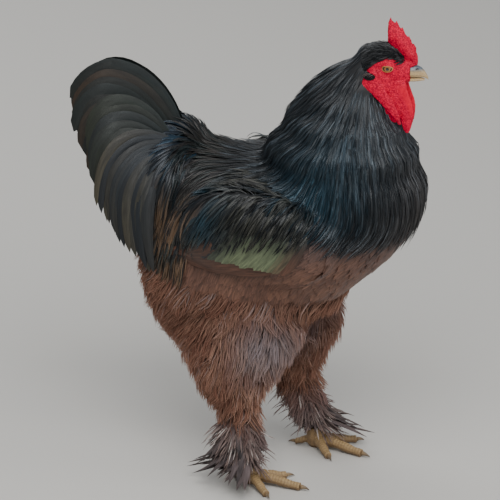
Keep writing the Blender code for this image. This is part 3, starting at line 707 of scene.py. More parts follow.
def mix(a: np.ndarray, b: np.ndarray, share: float) -> np.ndarray:
    """Colour between a and b."""
    return a + (b - a) * clamp(share)


BLUE_BLACK = colour("#0f151b")
GREEN_BLACK = colour("#141b18")
COAL = colour("#0b0c0e")
# Painted sheen: blues mixed into the feathers' colour where they shine
SHEEN_TEAL = colour("#183a48")
BLUE_SHEEN = colour("#1b3d5c")
OLIVE = colour("#43423a")
SLATE = colour("#3c3b40")
STREAK_GREY = colour("#4b545b")
CROWN_GREY_AND_HIGHLIGHT = colour("#77787a")
BRONZE = colour("#43301f")
# Painted highlight: tan for the tips of hanging feathers where light catches them
TAN_HIGHLIGHT = colour("#86694f")
RUST = colour("#644030")
DARK_RUST = colour("#412c22")
FLUFF_BROWN = colour("#7d5240")
FLUFF_GREY = colour("#8b8083")
FLUFF_TAN = colour("#bd937b")
SMOKE = colour("#5a4c4a")
PALE_QUILL = colour("#c4bbb4")
MOSS = colour("#6a7455")


# Lie of the coat as read: pixel across and down, the bird's own Y there, and the way across and up the
# picture in which a feather rooted there points
SEEN_LIE = (
    (352, 62, -0.03, -0.8, -0.45), (335, 75, -0.04, -0.75, -0.6), (350, 85, -0.035, -0.45, -0.85),
    (360, 100, -0.035, -0.1, -1.0), (345, 105, -0.05, -0.25, -1.0), (315, 100, -0.05, -0.6, -0.78),
    (290, 125, -0.06, -0.66, -0.75), (268, 150, -0.07, -0.72, -0.68), (330, 140, -0.08, -0.28, -1.0),
    (355, 140, -0.075, -0.05, -1.0), (375, 130, -0.06, 0.15, -1.0), (395, 140, -0.05, 0.35, -1.0),
    (415, 165, -0.05, 0.2, -1.0), (423, 200, -0.05, -0.02, -1.0), (415, 232, -0.05, -0.3, -0.95),
    (390, 185, -0.09, 0.1, -1.0), (365, 185, -0.1, 0.08, -1.0), (335, 185, -0.11, 0.1, -1.0),
    (345, 215, -0.11, 0.15, -1.0), (380, 220, -0.1, 0.0, -1.0), (305, 165, -0.1, -0.35, -0.93),
    (310, 200, -0.12, -0.12, -1.0), (280, 170, -0.1, -0.72, -0.68), (255, 180, -0.11, -0.75, -0.62),
    (280, 205, -0.13, -0.45, -0.9), (240, 205, -0.13, -0.6, -0.8), (215, 225, -0.13, -0.5, -0.85),
    (195, 248, -0.13, -0.5, -0.85), (260, 235, -0.14, -0.35, -1.0), (230, 250, -0.14, -0.45, -0.9),
    (290, 235, -0.13, -0.45, -0.9), (270, 262, -0.14, -0.8, -0.45), (320, 250, -0.12, -0.85, -0.5),
    (350, 265, -0.12, -0.92, -0.35), (385, 255, -0.09, -0.8, -0.6), (405, 245, -0.06, -0.65, -0.75),
    (300, 280, -0.12, -0.95, -0.25), (370, 280, -0.08, -0.95, -0.4), (335, 292, -0.09, -0.95, -0.25),
    (245, 135, -0.04, -0.98, 0.1), (220, 130, -0.04, -0.98, 0.1), (195, 120, -0.04, -0.92, 0.2),
    (235, 150, -0.08, -0.98, -0.12), (205, 145, -0.08, -0.92, -0.22), (180, 135, -0.06, -0.9, -0.1),
    (165, 125, -0.05, -0.9, 0.15), (215, 170, -0.1, -0.85, -0.5), (190, 165, -0.1, -0.72, -0.65),
    (170, 155, -0.08, -0.72, -0.55), (150, 140, -0.06, -0.8, -0.3), (185, 195, -0.11, -0.42, -0.92),
    (170, 190, -0.1, -0.4, -0.9), (155, 185, -0.09, -0.35, -0.92), (175, 225, -0.11, -0.1, -1.0),
    (160, 225, -0.1, 0.0, -1.0), (180, 255, -0.11, 0.05, -1.0), (180, 300, -0.09, -0.6, -0.75),
    (165, 320, -0.08, -0.6, -0.75), (200, 320, -0.11, -0.35, -0.95), (195, 355, -0.1, -0.1, -1.0),
    (230, 330, -0.12, -0.15, -1.0), (240, 370, -0.11, -0.1, -1.0), (270, 310, -0.12, -0.2, -1.0),
    (275, 350, -0.11, -0.05, -1.0), (310, 310, -0.08, -0.3, -0.95), (340, 310, -0.05, 0.0, -1.0),
    (330, 340, -0.04, 0.05, -1.0), (300, 345, -0.07, 0.0, -1.0), (220, 400, -0.08, -0.15, -1.0),
    (240, 430, -0.08, -0.15, -1.0), (255, 400, -0.08, 0.0, -1.0),
)
# The same on the crown, in the bird's own frame: x, z and the direction (x, z)
CROWN_LIE = (
    (0.160, 0.650, -0.98, -0.12), (0.172, 0.640, -0.96, -0.26), (0.145, 0.656, -0.97, -0.22),
    (0.176, 0.628, -0.93, -0.36), (0.152, 0.640, -0.94, -0.34), (0.138, 0.645, -0.88, -0.48),
)
SEEN_YAW = math.radians(16)
SEEN_PITCH = math.radians(22)
SEEN_PX_PER_METRE = 690
SEEN_DATUM_PX = (282, 464)
FLOW_REACH = 0.022


def seen_from_side(across: float, down: float, y: float, right: float, up: float) -> tuple[float, ...]:
    """Carries a reading of the lie of the coat onto the bird's own X and Z.

    Args:
        across: Pixel across.
        down: Pixel down.
        y: The bird's own Y there.
        right: How far a feather there points across the picture.
        up: How far it points up the picture.

    Returns:
        The place's x and z to the millimetre, and the direction (x, z) to a hundredth.
    """
    turn_sin, turn_cos = math.sin(SEEN_YAW), math.cos(SEEN_YAW)
    tip_sin, tip_cos = math.sin(SEEN_PITCH), math.cos(SEEN_PITCH)
    x = ((across - SEEN_DATUM_PX[0]) / SEEN_PX_PER_METRE - y * turn_sin) / turn_cos
    height = (SEEN_DATUM_PX[1] - down) / SEEN_PX_PER_METRE
    z = (height - y * turn_cos * tip_sin + x * turn_sin * tip_sin) / tip_cos
    ahead = right / turn_cos
    rise = (up + ahead * turn_sin * tip_sin) / tip_cos
    long = math.hypot(ahead, rise)
    return round(x, 3), round(z, 3), round(ahead / long, 2), round(rise / long, 2)


FLOW = np.array(CROWN_LIE + tuple(seen_from_side(*reading) for reading in SEEN_LIE))


def lie(places: np.ndarray) -> np.ndarray:
    """The lie of the coat at each place, before it is laid on the skin.

    Args:
        places: Places of the skin in the bird's own frame, one in each row.

    Returns:
        The direction in which a feather rooted at each place points.
    """
    gap = (places[:, None, 0] - FLOW[None, :, 0]) ** 2 + (places[:, None, 2] - FLOW[None, :, 1]) ** 2
    weight = np.exp(-gap / (2 * FLOW_REACH ** 2)) + 1e-4 / (gap + 1e-4)
    made = np.zeros_like(places)
    made[:, 0] = (weight * FLOW[None, :, 2]).sum(1)
    made[:, 2] = (weight * FLOW[None, :, 3]).sum(1)
    return made / np.linalg.norm(made, axis=1, keepdims=True)


def unit(rows: np.ndarray) -> np.ndarray:
    """Each row at length one."""
    return rows / np.maximum(np.linalg.norm(rows, axis=-1, keepdims=True), 1e-12)


@dataclass(frozen=True)
class Tract:
    """One field of feathers on the skin: where it lies, how close its feathers stand and how they look."""

    name: str
    spacing: float
    length: Callable[[float, float, float], float]
    width: float
    lift: float
    vane: Vane
    tones: Callable[[float, float, float, float], tuple[np.ndarray, np.ndarray]]
    stray: float = 0.12
    curl: float = 0.0
    clump: float = 0.0
    clump_gap: float = 0.012
    # The coat lies close on the front of the upper neck: ahead of an x, over a stretch, and above a height
    tight_over: tuple[float, float] = (2.0, 0.06)
    close_above: float = 0.575
    close_stretch: float = 0.05

    def grow(self, bed: Bed, roots: np.ndarray, chance: np.random.Generator) -> tuple[np.ndarray, np.ndarray]:
        """Lays one feather at each root over the skin.

        Args:
            bed: The skin.
            roots: Where they grow.
            chance: The source of random numbers.

        Returns:
            Places along each quill and the direction that it faces at each.
        """
        count = len(roots)
        rows = self.vane.steps + 1
        long = np.array([self.length(*root) for root in roots]) * chance.uniform(0.84, 1.16, count)
        part = (long / self.vane.steps)[:, None]
        tight = np.clip((self.tight_over[0] - roots[:, 0]) / self.tight_over[1], 0.0, 1.0)
        low = np.clip((self.close_above - roots[:, 2]) / self.close_stretch, 0.0, 1.0)
        tight = np.maximum(tight, low)
        high = (self.lift * (0.22 + 0.78 * tight) * chance.uniform(0.7, 1.25, count))[:, None]
        curl = (self.curl * chance.uniform(0.0, 1.6, count))[:, None]
        stray = chance.standard_normal((count, 3)) * self.stray
        point, out = bed.nearest_all(roots)
        quill = np.empty((count, rows, 3))
        outs = np.empty((count, rows, 3))
        for k in range(rows):
            t = k / self.vane.steps
            quill[:, k] = point + out * (-0.001 + high * t ** 0.75 + curl * t * t)
            outs[:, k] = out
            heading = lie(point) + stray
            heading = unit(heading - out * (heading * out).sum(1, keepdims=True))
            point, turned = bed.nearest_all(point + heading * part)
            out = unit(out * 1.5 + turned)
        if self.clump:
            leaders = thin_out(roots, np.full(count, self.clump_gap))
            tree = KDTree(len(leaders))
            for number, leader in enumerate(leaders):
                tree.insert(Vector(roots[leader]), number)
            tree.balance()
            mine = leaders[[tree.find(Vector(root))[1] for root in roots]]
            for k in range(1, rows):
                pull = self.clump * (k / self.vane.steps) ** 1.3
                quill[:, k] = quill[:, k] * (1 - pull) + quill[mine, k] * pull
        return quill, outs


HACKLE_VANE = Vane(6, 0.40, 0.85, 0.10, 0.0007)
BODY_VANE = Vane(5, 0.62, 0.50, 0.20, 0.0005)
FLUFF_VANE = Vane(3, 0.34, 1.00, 0.00, 0.0009)
BROAD_VANE = Vane(20, 0.64, 0.42, 0.12, 0.0006, 0.010, BROAD_RING)
WING_VANE = Vane(12, 0.60, 0.40, 0.14, 0.0006, 0.015, BROAD_RING)


def near(x: float, z: float, spot: tuple[float, float], reach: float) -> float:
    """How near a place is to a spot seen from the side, from 0 to 1."""
    return math.exp(-((x - spot[0]) ** 2 + (z - spot[1]) ** 2) / (2 * reach * reach))


def painted_sheen_of(x: float, z: float) -> float:
    """How much blue sheen is painted into the feathers' colour at a place: at the shoulder, on the wing and
    at the root of the tail.
    """
    return min(1.0, near(x, z, (0.078, 0.460), 0.022) + near(x, z, (-0.064, 0.415), 0.018)
               + near(x, z, (-0.140, 0.525), 0.028) + 0.5 * near(x, z, (0.105, 0.500), 0.035))


def hackle_tones(x: float, y: float, z: float, whim: float) -> tuple[np.ndarray, np.ndarray]:
    """Black hackle with painted blue sheen, here and there a greyer feather, browner towards the breast."""
    front = clamp((x - 0.13) / 0.06)
    base = mix(COAL, STREAK_GREY, 0.75 * whim ** 6)
    base = mix(base, SHEEN_TEAL, 0.85 * painted_sheen_of(x, z - 0.035) * (0.4 + 0.6 * whim))
    return mix(base, BLUE_BLACK, 0.5), mix(base, mix(BRONZE, STREAK_GREY, 0.35), 0.65 * front * whim)


def cape_tones(x: float, y: float, z: float, whim: float) -> tuple[np.ndarray, np.ndarray]:
    """Black feathers over the wing with painted blue sheen and olive sheen."""
    base = mix(COAL, OLIVE, 0.85 * whim ** 1.5)
    base = mix(base, SHEEN_TEAL, 0.9 * painted_sheen_of(x, z - 0.02) * (0.4 + 0.6 * whim))
    return mix(base, BLUE_BLACK, 0.4), base


def body_tones(x: float, y: float, z: float, whim: float) -> tuple[np.ndarray, np.ndarray]:
    """Slate brown under the hackle, rusty below."""
    rust = clamp((0.425 - z) / 0.07)
    base = mix(mix(SLATE, DARK_RUST, 0.6), mix(DARK_RUST, RUST, 0.4), rust)
    tip = mix(mix(base, SLATE, 0.4), mix(RUST, FLUFF_TAN, 0.15 * whim), rust * (0.45 + 0.55 * whim))
    return base * 0.65, tip


def fluff_tones(x: float, y: float, z: float, whim: float) -> tuple[np.ndarray, np.ndarray]:
    """Rusty brown fluff, with a grey patch at the middle of the thigh and paler tips towards the hock."""
    grey = min(1.0, 1.3 * near(x, z, (0.003, 0.234), 0.026) + (0.6 if whim > 0.80 else 0.0))
    dark = 0.7 * near(x, z, (-0.075, 0.285), 0.03) + 0.6 * near(x, z, (0.06, 0.275), 0.04)
    base = mix(mix(FLUFF_BROWN, DARK_RUST, min(1.0, dark) * whim), FLUFF_GREY, grey)
    pale = 0.45 + 0.6 * near(x, z, (0.00, 0.175), 0.035) + 0.5 * near(x, z, (-0.045, 0.24), 0.02)
    tip = mix(base, mix(FLUFF_TAN, FLUFF_GREY, 0.6 * grey), pale * max(0.0, 2.4 * whim - 0.8))
    return mix(base * 0.6, DARK_RUST, 0.4), tip


def shank_tones(x: float, y: float, z: float, whim: float) -> tuple[np.ndarray, np.ndarray]:
    """Smoky brown shank feathers, greyer towards the foot, the odd one pale; the far left shank is painted
    lighter and the near right one darker, as painted light and shade.
    """
    low = clamp((0.105 - z) / 0.05)
    # Painted light and shade: the far left shank is painted lighter and the near right shank darker
    base = mix(mix(FLUFF_BROWN, SMOKE, 0.5), SMOKE, low) * (1.35 if y > 0 else 0.85)
    pale = mix(FLUFF_GREY, PALE_QUILL, 0.6 if whim > 0.9 else 0.0)
    return base * 0.7, mix(base, pale, 0.15 + 0.6 * whim * low)


def saddle_tones(x: float, y: float, z: float, whim: float) -> tuple[np.ndarray, np.ndarray]:
    """Blue-black saddle hackle with painted blue sheen, and a painted tan highlight at the tips of some
    feathers of the flank.
    """
    base = mix(COAL, GREEN_BLACK, whim)
    base = mix(base, mix(SHEEN_TEAL, BLUE_SHEEN, 0.6), 0.9 * painted_sheen_of(x, z) * (0.3 + 0.7 * whim))
    # Painted highlight: tan tips on some feathers of the flank, where light catches them
    flank = near(x, z, (-0.105, 0.44), 0.055) * clamp((abs(y) - 0.05) / 0.03)
    return base, mix(base, TAN_HIGHLIGHT, 0.85 * flank if whim > 0.52 else 0.05)


def side_tract(x: float, y: float, z: float) -> str:
    """Name of the tract that grows at a place of the skin."""
    hackle_edge = 0.452 + 0.60 * max(0.0, 0.03 - x) + 0.20 * max(0.0, x - 0.16)
    if 0.53 < z < 0.650 and x > 0.118 + 0.774 * (0.612 - z) and abs(y) > 0.009:
        return "face"
    if z < 0.112:
        return "shank"
    if z > hackle_edge and x > -0.035:
        return "hackle"
    if x < 0.0 and z > max(0.350, 0.497 + 0.865 * x):
        return "saddle"
    if x < 0.078 and z > 0.412 - 0.5 * max(0.0, -0.05 - x) and abs(y) > 0.05:
        return "cape"
    if -0.10 < x < 0.050 and z > 0.346 and abs(y) > 0.08:
        return "under the wing"
    if z < 0.288 + 0.10 * max(0.0, 0.10 - x) + 0.5 * max(0.0, -0.12 - x) - 0.2 * max(0.0, x - 0.10):
        return "fluff"
    return "body"


TRACTS = (
    Tract("fluff", 0.0027, lambda x, y, z: 0.038 if z > 0.15 else 0.032, 0.0021, 0.0150,
          FLUFF_VANE, fluff_tones, stray=0.30, curl=0.006, clump=0.58, clump_gap=0.012),
    Tract("shank", 0.0024, lambda x, y, z: 0.036 - 0.10 * max(0.0, 0.07 - z), 0.0024, 0.0150,
          FLUFF_VANE, shank_tones, stray=0.34, curl=0.009, clump=0.60, clump_gap=0.011),
    Tract("body", 0.0056, lambda x, y, z: 0.038, 0.0150, 0.0050, BODY_VANE, body_tones, stray=0.06),
    Tract("cape", 0.0036, lambda x, y, z: 0.046, 0.0044, 0.0155, HACKLE_VANE, cape_tones, stray=0.07,
          clump=0.35, clump_gap=0.008),
    Tract("saddle", 0.0038, lambda x, y, z: 0.075 + 0.35 * min(0.09, max(0.0, abs(y) - 0.03)), 0.0048, 0.0110,
          HACKLE_VANE, saddle_tones, stray=0.035, clump=0.35, clump_gap=0.009),
    Tract("hackle", 0.0036, lambda x, y, z: 0.050 + 0.34 * max(0.0, min(0.17, 0.64 - z)), 0.0046, 0.0105,
          HACKLE_VANE, hackle_tones, stray=0.035, clump=0.40, clump_gap=0.008, tight_over=(0.118, 0.03)),
)


@dataclass
class Coat:
    """Small feathers and fluff over the whole skin, one piece for each tract and side."""

    bed: Bed
    candidates: int = 420_000

    def build(self, finishes: dict[str, bpy.types.Material]) -> list[bpy.types.Object]:
        """Grows the tracts.

        Args:
            finishes: The material of each tract by its name.

        Returns:
            The coat pieces.
        """
        chance = np.random.default_rng(11)
        places, patches = self.bed.scatter(self.candidates, chance)
        names = np.array([side_tract(*place) for place in places])
        made = []
        for tract in TRACTS:
            for side in Side:
                held = (names == tract.name) & ((places[:, 1] >= 0) == (side is Side.LEFT))
                mine = places[held]
                chosen = thin_out(mine, np.full(len(mine), tract.spacing))
                roots = mine[chosen]
                quill, outs = tract.grow(self.bed, roots, chance)
                plumes = Plumes(tract.vane)
                drift = np.array([0.5 + 1.1 * noise.noise(Vector(root) * 60.0) for root in roots])
                whims = np.clip(0.55 * drift + 0.45 * chance.random(len(roots)), 0.0, 1.0)
                if tract.vane is HACKLE_VANE:
                    whims = chance.random(len(roots))
                wide = tract.width * chance.uniform(0.75, 1.25, len(roots))
                plumes.quills = list(quill)
                plumes.outs = list(outs)
                plumes.sizes = list(wide)
                plumes.colours = [tract.tones(*root, whim) for root, whim in zip(roots, whims)]
                plumes.patches = list(patches[held][chosen])
                piece = plumes.mesh(f"{tract.name}_coat_{side.word}", chance)
                piece.data.materials.append(finishes[tract.name])
                log.info("%s: %d feathers, %d triangles", piece.name, len(roots), len(piece.data.polygons))
                made.append(piece)
        return made


def spread(stations: tuple[tuple[float, ...], ...], count: int) -> list[tuple[float, ...]]:
    """Places spaced evenly along stations, read off a smooth line through them.

    Args:
        stations: Rows of numbers, at least two.
        count: How many rows come out.

    Returns:
        The rows.
    """
    last = len(stations) - 1
    rows = []
    for k in range(count):
        share = last * k / (count - 1)
        i = min(int(share), last - 1)
        t = share - i
        row = []
        nearby = stations[max(i - 1, 0)], stations[i], stations[i + 1], stations[min(i + 2, last)]
        for before, a, b, after in zip(*nearby):
            row.append(0.5 * (2 * a + (b - before) * t + (2 * before - 5 * a + 4 * b - after) * t * t
                              + (3 * a - before - 3 * b + after) * t ** 3))
        rows.append(tuple(row))
    return rows


def trail(
    bed: Bed, start: Vector, heading: Vector, long: float, rows: int, lift: tuple[float, float],
) -> tuple[list[Vector], list[Vector]]:
    """A feather's line that follows the bed.

    Args:
        bed: The skin.
        start: Its root, near the skin.
        heading: Where it points.
        long: Its length.
        rows: How many parts it has.
        lift: Its height over the skin near the root and at the tip.

    Returns:
        Places along it and the direction it faces at each.
    """
    point, out = bed.nearest(start)
    part = long / rows
    places, outs = [], []
    for k in range(rows + 1):
        t = k / rows
        high = between(lift, t) - 0.004 * max(0.0, 1 - 5 * t)
        places.append(point + out * high)
        outs.append(out)
        heading = heading.normalized()
        heading = (heading - out * heading.dot(out)).normalized()
        nearer, turned = bed.nearest(point + heading * part)
        point, out = nearer, (out * 2 + turned).normalized()
    return places, outs


@dataclass(frozen=True)
class Tier:
    """One row of wing feathers, from its first and lowest or foremost feather to its last."""

    count: int
    first: tuple[float, float]
    last: tuple[float, float]
    falls: tuple[float, float]
    lengths: tuple[float, float]
    width: float
    lift: tuple[float, float]
    rise: float
    root_tone: np.ndarray
    tip_tone: np.ndarray
    last_tone: np.ndarray
    # How the last tone comes in: so many times the share of the way, less an amount
    fade: tuple[float, float] = (1.0, 0.0)
    first_tone: np.ndarray | None = None
    first_share: float = 0.25


@dataclass
class Wing:
    """Folded wing: secondaries and coverts laid in tiers over the flank."""

    side: Side
    bed: Bed
    tiers: tuple[Tier, ...] = (
        Tier(11, (0.040, 0.341), (0.004, 0.412), (1.0, 22.0), (0.178, 0.112), 0.031, (0.003, 0.010), 0.0004,
             RUST * 0.6, RUST * 0.75, DARK_RUST * 0.8),
        Tier(13, (0.078, 0.408), (-0.036, 0.412), (56.0, 48.0), (0.064, 0.066), 0.025, (0.010, 0.0125), 0.0,
             GREEN_BLACK, MOSS * 0.9, BLUE_BLACK, (3.0, 2.0), RUST * 0.7),
    )
    tilt: float = -7.0

    def build(self, finish: bpy.types.Material) -> bpy.types.Object:
        """Lays the tiers and makes the wing one piece."""
        chance = np.random.default_rng(23)
        plumes = Plumes(WING_VANE)
        sign = self.side.value
        for tier in self.tiers:
            for k in range(tier.count):
                t = k / (tier.count - 1)
                x, z = (a + (b - a) * t for a, b in zip(tier.first, tier.last))
                fall = math.radians(between(tier.falls, t) + chance.uniform(-1.5, 1.5))
                long = between(tier.lengths, t) * chance.uniform(0.96, 1.04)
                start = Vector((x, sign * 0.16, z))
                heading = Vector((-math.cos(fall), 0.0, -math.sin(fall)))
                lift = tuple(value + tier.rise * k for value in tier.lift)
                quill, outs = trail(self.bed, start, heading, long, WING_VANE.steps, lift)
                tilt = Matrix.Rotation(math.radians(self.tilt * sign), 3, heading)
                outs = [tilt @ out for out in outs]
                tip = mix(tier.tip_tone, tier.last_tone, tier.fade[0] * t - tier.fade[1])
                if tier.first_tone is not None and t < tier.first_share:
                    tip = mix(tier.first_tone, tier.tip_tone, t / tier.first_share)
                patch = self.bed.unwrap_at(quill[0])
                plumes.add(quill, outs, tier.width * chance.uniform(0.94, 1.06), (tier.root_tone, tip), patch)
        piece = plumes.mesh("wing_feathers_" + self.side.word, chance)
        piece.data.materials.append(finish)
        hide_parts("wing_" + self.side.word)
        return piece


@dataclass(frozen=True)
class TailRow:
    """Feathers of one side of the tail from the topmost down, each an arch drawn by four places."""

    count: int
    roots: tuple[tuple[float, float, float], ...]
    rises: tuple[tuple[float, float, float], ...]
    falls: tuple[tuple[float, float, float], ...]
    tips: tuple[tuple[float, float, float], ...]
    width: float
    facing: tuple[float, float, float]
    tones: tuple[np.ndarray, np.ndarray]
    edge_tone: np.ndarray


@dataclass
class Tail:
    """Tail of broad upright feathers with sickles and coverts that arch over and hang beside them."""

    bed: Bed
    rows: tuple[TailRow, ...] = (
        TailRow(10, ((-0.150, 0.004, 0.478), (-0.160, 0.018, 0.468), (-0.166, 0.032, 0.452)),
                ((-0.168, 0.006, 0.575), (-0.203, 0.024, 0.548), (-0.215, 0.044, 0.500)),
                ((-0.261, 0.010, 0.607), (-0.273, 0.032, 0.562), (-0.252, 0.056, 0.500)),
                ((-0.309, 0.012, 0.530), (-0.290, 0.036, 0.486), (-0.262, 0.062, 0.438)), 0.047,
                (0.05, 1.0, 0.12), (GREEN_BLACK * 0.8, GREEN_BLACK * 0.7), BRONZE * 0.6),
        TailRow(8, ((-0.156, 0.034, 0.486), (-0.156, 0.042, 0.478), (-0.158, 0.047, 0.462)),
                ((-0.190, 0.040, 0.560), (-0.205, 0.062, 0.530), (-0.205, 0.080, 0.495)),
                ((-0.254, 0.055, 0.560), (-0.250, 0.078, 0.508), (-0.225, 0.092, 0.450)),
                ((-0.268, 0.062, 0.484), (-0.247, 0.084, 0.422), (-0.215, 0.094, 0.367)), 0.034,
                (0.15, 1.0, 0.15), (GREEN_BLACK * 0.7, MOSS * 0.10), BLUE_BLACK * 0.7),
        # The lowest row's tips take in part a painted tan highlight
        TailRow(17, ((-0.150, 0.042, 0.494), (-0.146, 0.050, 0.478), (-0.138, 0.056, 0.462)),
                ((-0.200, 0.064, 0.526), (-0.192, 0.082, 0.500), (-0.165, 0.092, 0.478)),
                ((-0.248, 0.086, 0.500), (-0.222, 0.100, 0.440), (-0.180, 0.110, 0.405)),
                ((-0.246, 0.094, 0.412), (-0.207, 0.104, 0.355), (-0.158, 0.110, 0.318)), 0.0185,
                (0.25, 1.0, 0.15), (BLUE_BLACK, BLUE_BLACK * 0.7), mix(MOSS, TAN_HIGHLIGHT, 0.5) * 0.3),
    )

    def build(self, finish: bpy.types.Material) -> bpy.types.Object:
        """Makes the broad feathers one piece."""
        piece = self.fan(self.rows, BROAD_VANE, "tail_feathers", 0.0022)
        piece.data.materials.append(finish)
        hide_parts("tail")
        return piece

    def fan(self, rows: tuple[TailRow, ...], vane: Vane, name: str, play: float) -> bpy.types.Object:
        """Fans rows of feathers out on both sides.

        Args:
            rows: The rows.
            vane: The kind of feather.
            name: The name of what comes out.
            play: How far each feather strays.

        Returns:
            The feathers as one piece.
        """
        chance = np.random.default_rng(31)
        plumes = Plumes(vane)
        steps = vane.steps
        for side in Side:
            for row in rows:
                out = Vector((row.facing[0], row.facing[1] * side.value, row.facing[2])).normalized()
                lines = (row.roots, row.rises, row.falls, row.tips)
                for places in zip(*(spread(stations, row.count) for stations in lines)):
                    a, b, c, d = (Vector((x, y * side.value, z)) for x, y, z in places)
                    c = c + Vector(chance.standard_normal(3)) * play
                    d = d + Vector(chance.standard_normal(3)) * play
                    quill = []
                    for j in range(steps + 1):
                        t = j / steps
                        s = 1 - t
                        quill.append(a * s ** 3 + b * (3 * s * s * t) + c * (3 * s * t * t) + d * t ** 3)
                    width = row.width * chance.uniform(0.92, 1.08)
                    tip = mix(row.tones[1], row.edge_tone, chance.random() ** 2 * 0.9)
                    # Painted blue sheen at the root of the tail
                    root = mix(row.tones[0], SHEEN_TEAL, 0.8 * chance.random() * painted_sheen_of(b.x, b.z))
                    plumes.add(quill, [out] * (steps + 1), width, (root, tip), self.bed.unwrap_at(a))
        return plumes.mesh(name, chance)


@dataclass(frozen=True)
class BootTier:
    """Feathers at one height of a shank."""

    height: float
    count: int
    length: float
    width: float
    fall: float


@dataclass
class Boot:
    """Feathers that fan out from the outer side of a shank over the foot."""

    side: Side
    skin: Skin
    bed: Bed
    fan: float = 46.0
    wisps: int = 520
    lowest: float = 0.0025
    tiers: tuple[BootTier, ...] = (
        BootTier(0.086, 5, 0.046, 0.010, 0.75),
        BootTier(0.072, 6, 0.052, 0.011, 0.62),
        BootTier(0.060, 7, 0.060, 0.011, 0.50),
        BootTier(0.050, 8, 0.068, 0.012, 0.38),
        BootTier(0.041, 8, 0.076, 0.012, 0.28),
        BootTier(0.033, 8, 0.078, 0.012, 0.20),
    )

    def build(self, finish: bpy.types.Material) -> bpy.types.Object:
        """Fans the tiers out and makes them one piece."""
        chance = np.random.default_rng(53)
        vane = Vane(7, 0.45, 0.60, 0.20, 0.0006, 0.06)
        plumes = Plumes(vane)
        middle_turn = 128.0 if self.side is Side.RIGHT else 52.0
        ankle = self.skin.feet[self.side] + UP * 0.030
        hock = self.skin.hocks[self.side]
        for tier in self.tiers:
            for k in range(tier.count):
                fan = self.fan * (2 * k / (tier.count - 1) - 1)
                turn = math.radians(middle_turn + fan + chance.uniform(-6, 6))
                out = Vector((math.cos(turn), math.sin(turn) * self.side.value, 0.0))
                middle = ankle.lerp(hock, (tier.height - ankle.z) / (hock.z - ankle.z))
                long = tier.length * chance.uniform(0.62, 1.10)
                fall = tier.fall * chance.uniform(0.7, 1.3)
                quill = []
                for j in range(vane.steps + 1):
                    t = j / vane.steps
                    drop = 0.004 - long * fall * t ** 1.6
                    place = middle + out * (0.006 + long * t) + UP * drop
                    place.z = max(place.z, 0.003 + 0.002 * chance.random())
                    quill.append(place)
                whim = chance.random()
                base = mix(COAL, SMOKE, 0.9 * whim * whim)
                tones = (mix(FLUFF_GREY, SMOKE, 0.7), base)
                plumes.add(
                    quill, [UP] * (vane.steps + 1), tier.width * chance.uniform(0.8, 1.2), tones,
                    self.bed.unwrap_at(middle))
        for _ in range(self.wisps):
            height = chance.uniform(0.028, 0.098)
            turn = math.radians(middle_turn + 75 * chance.standard_normal() * 0.8)
            out = Vector((math.cos(turn), math.sin(turn) * self.side.value, 0.0))
            middle = ankle.lerp(hock, (height - ankle.z) / (hock.z - ankle.z))
            long = chance.uniform(0.024, 0.046)
            fall = chance.uniform(0.35, 1.1) * (0.5 + 6 * (height - 0.02))
            quill = []
            for j in range(vane.steps + 1):
                t = j / vane.steps
                place = middle + out * (0.006 + long * t) + UP * (0.003 - long * fall * t ** 1.5)
                place.z = max(place.z, self.lowest)
                quill.append(place)
            whim = chance.random()
            tip = mix(mix(SMOKE, FLUFF_BROWN, 0.5 * whim), PALE_QUILL, 0.8 if whim > 0.88 else 0.25 * whim)
            plumes.add(
                quill, [UP + out * 0.5] * (vane.steps + 1), chance.uniform(0.0022, 0.0042), (SMOKE, tip),
                self.bed.unwrap_at(middle))
        piece = plumes.mesh("boot_feathers_" + self.side.word, chance)
        piece.data.materials.append(finish)
        return piece


@dataclass(frozen=True)
class RedSkin:
    """Bare red skin: fine grains over the face and comb, with light that passes a little way in."""

    name: str = "bare_red_skin"
    # Real grains are about 1 mm across. They are drawn coarser, so that they show
    grain_mm: float = 1.9
    bump: float = 0.8

    def build(self) -> bpy.types.Material:
        """Makes the material."""
        made, tree, shader = new_material(self.name)
        place = add_node(tree, "TexCoord")
        smooth = add_node(tree, "Attribute", {"attribute_name": "smooth"})
        grains = add_node(tree, "TexVoronoi", i0=place.outputs["Object"], Scale=1000.0 / self.grain_mm)
        cloud = add_node(tree, "TexNoise", i0=place.outputs["Object"], Scale=220.0, Detail=3.0)
        height = add_node(
            tree, "MapRange", Value=grains.outputs["Distance"], From_Max=0.7, To_Min=1.0, To_Max=0.0)
        rough = add_node(tree, "Mix", {"data_type": "RGBA"}, i0=height.outputs["Result"],
                         i6=linear("#a8002a"), i7=linear("#f80042"))
        even = add_node(tree, "Mix", {"data_type": "RGBA"}, i0=smooth.outputs["Fac"],
                        i6=rough.outputs[2], i7=linear("#d40030"))
        shade = add_node(tree, "MapRange", Value=cloud.outputs["Fac"], From_Min=0.3, From_Max=0.7,
                         To_Min=0.78, To_Max=1.12)
        final = add_node(
            tree, "VectorMath", {"operation": "SCALE"}, i0=even.outputs[2], Scale=shade.outputs[0])
        crown = add_node(tree, "Attribute", {"attribute_name": "crown"})
        whole = add_node(tree, "Mix", {"data_type": "RGBA"}, i0=crown.outputs["Fac"],
                         i6=final.outputs[0], i7=linear("#0b0b0d"))
        tree.links.new(whole.outputs[2], shader.inputs["Base Color"])
        keep = add_node(tree, "Math", {"operation": "SUBTRACT"}, i0=1.0, i1=smooth.outputs["Fac"])
        lift = add_node(
            tree, "Math", {"operation": "MULTIPLY"}, i0=height.outputs["Result"], i1=keep.outputs[0])
        bump = add_node(tree, "Bump", Strength=self.bump, Distance=0.0005, Height=lift.outputs[0])
        tree.links.new(bump.outputs[0], shader.inputs["Normal"])
        shader.inputs["Roughness"].default_value = 0.52
        shader.inputs["Specular IOR Level"].default_value = 0.16
        shader.inputs["Subsurface Weight"].default_value = 0.15
        shader.inputs["Subsurface Radius"].default_value = (0.004, 0.001, 0.001)
        shader.inputs["Subsurface Scale"].default_value = 0.5
        return made


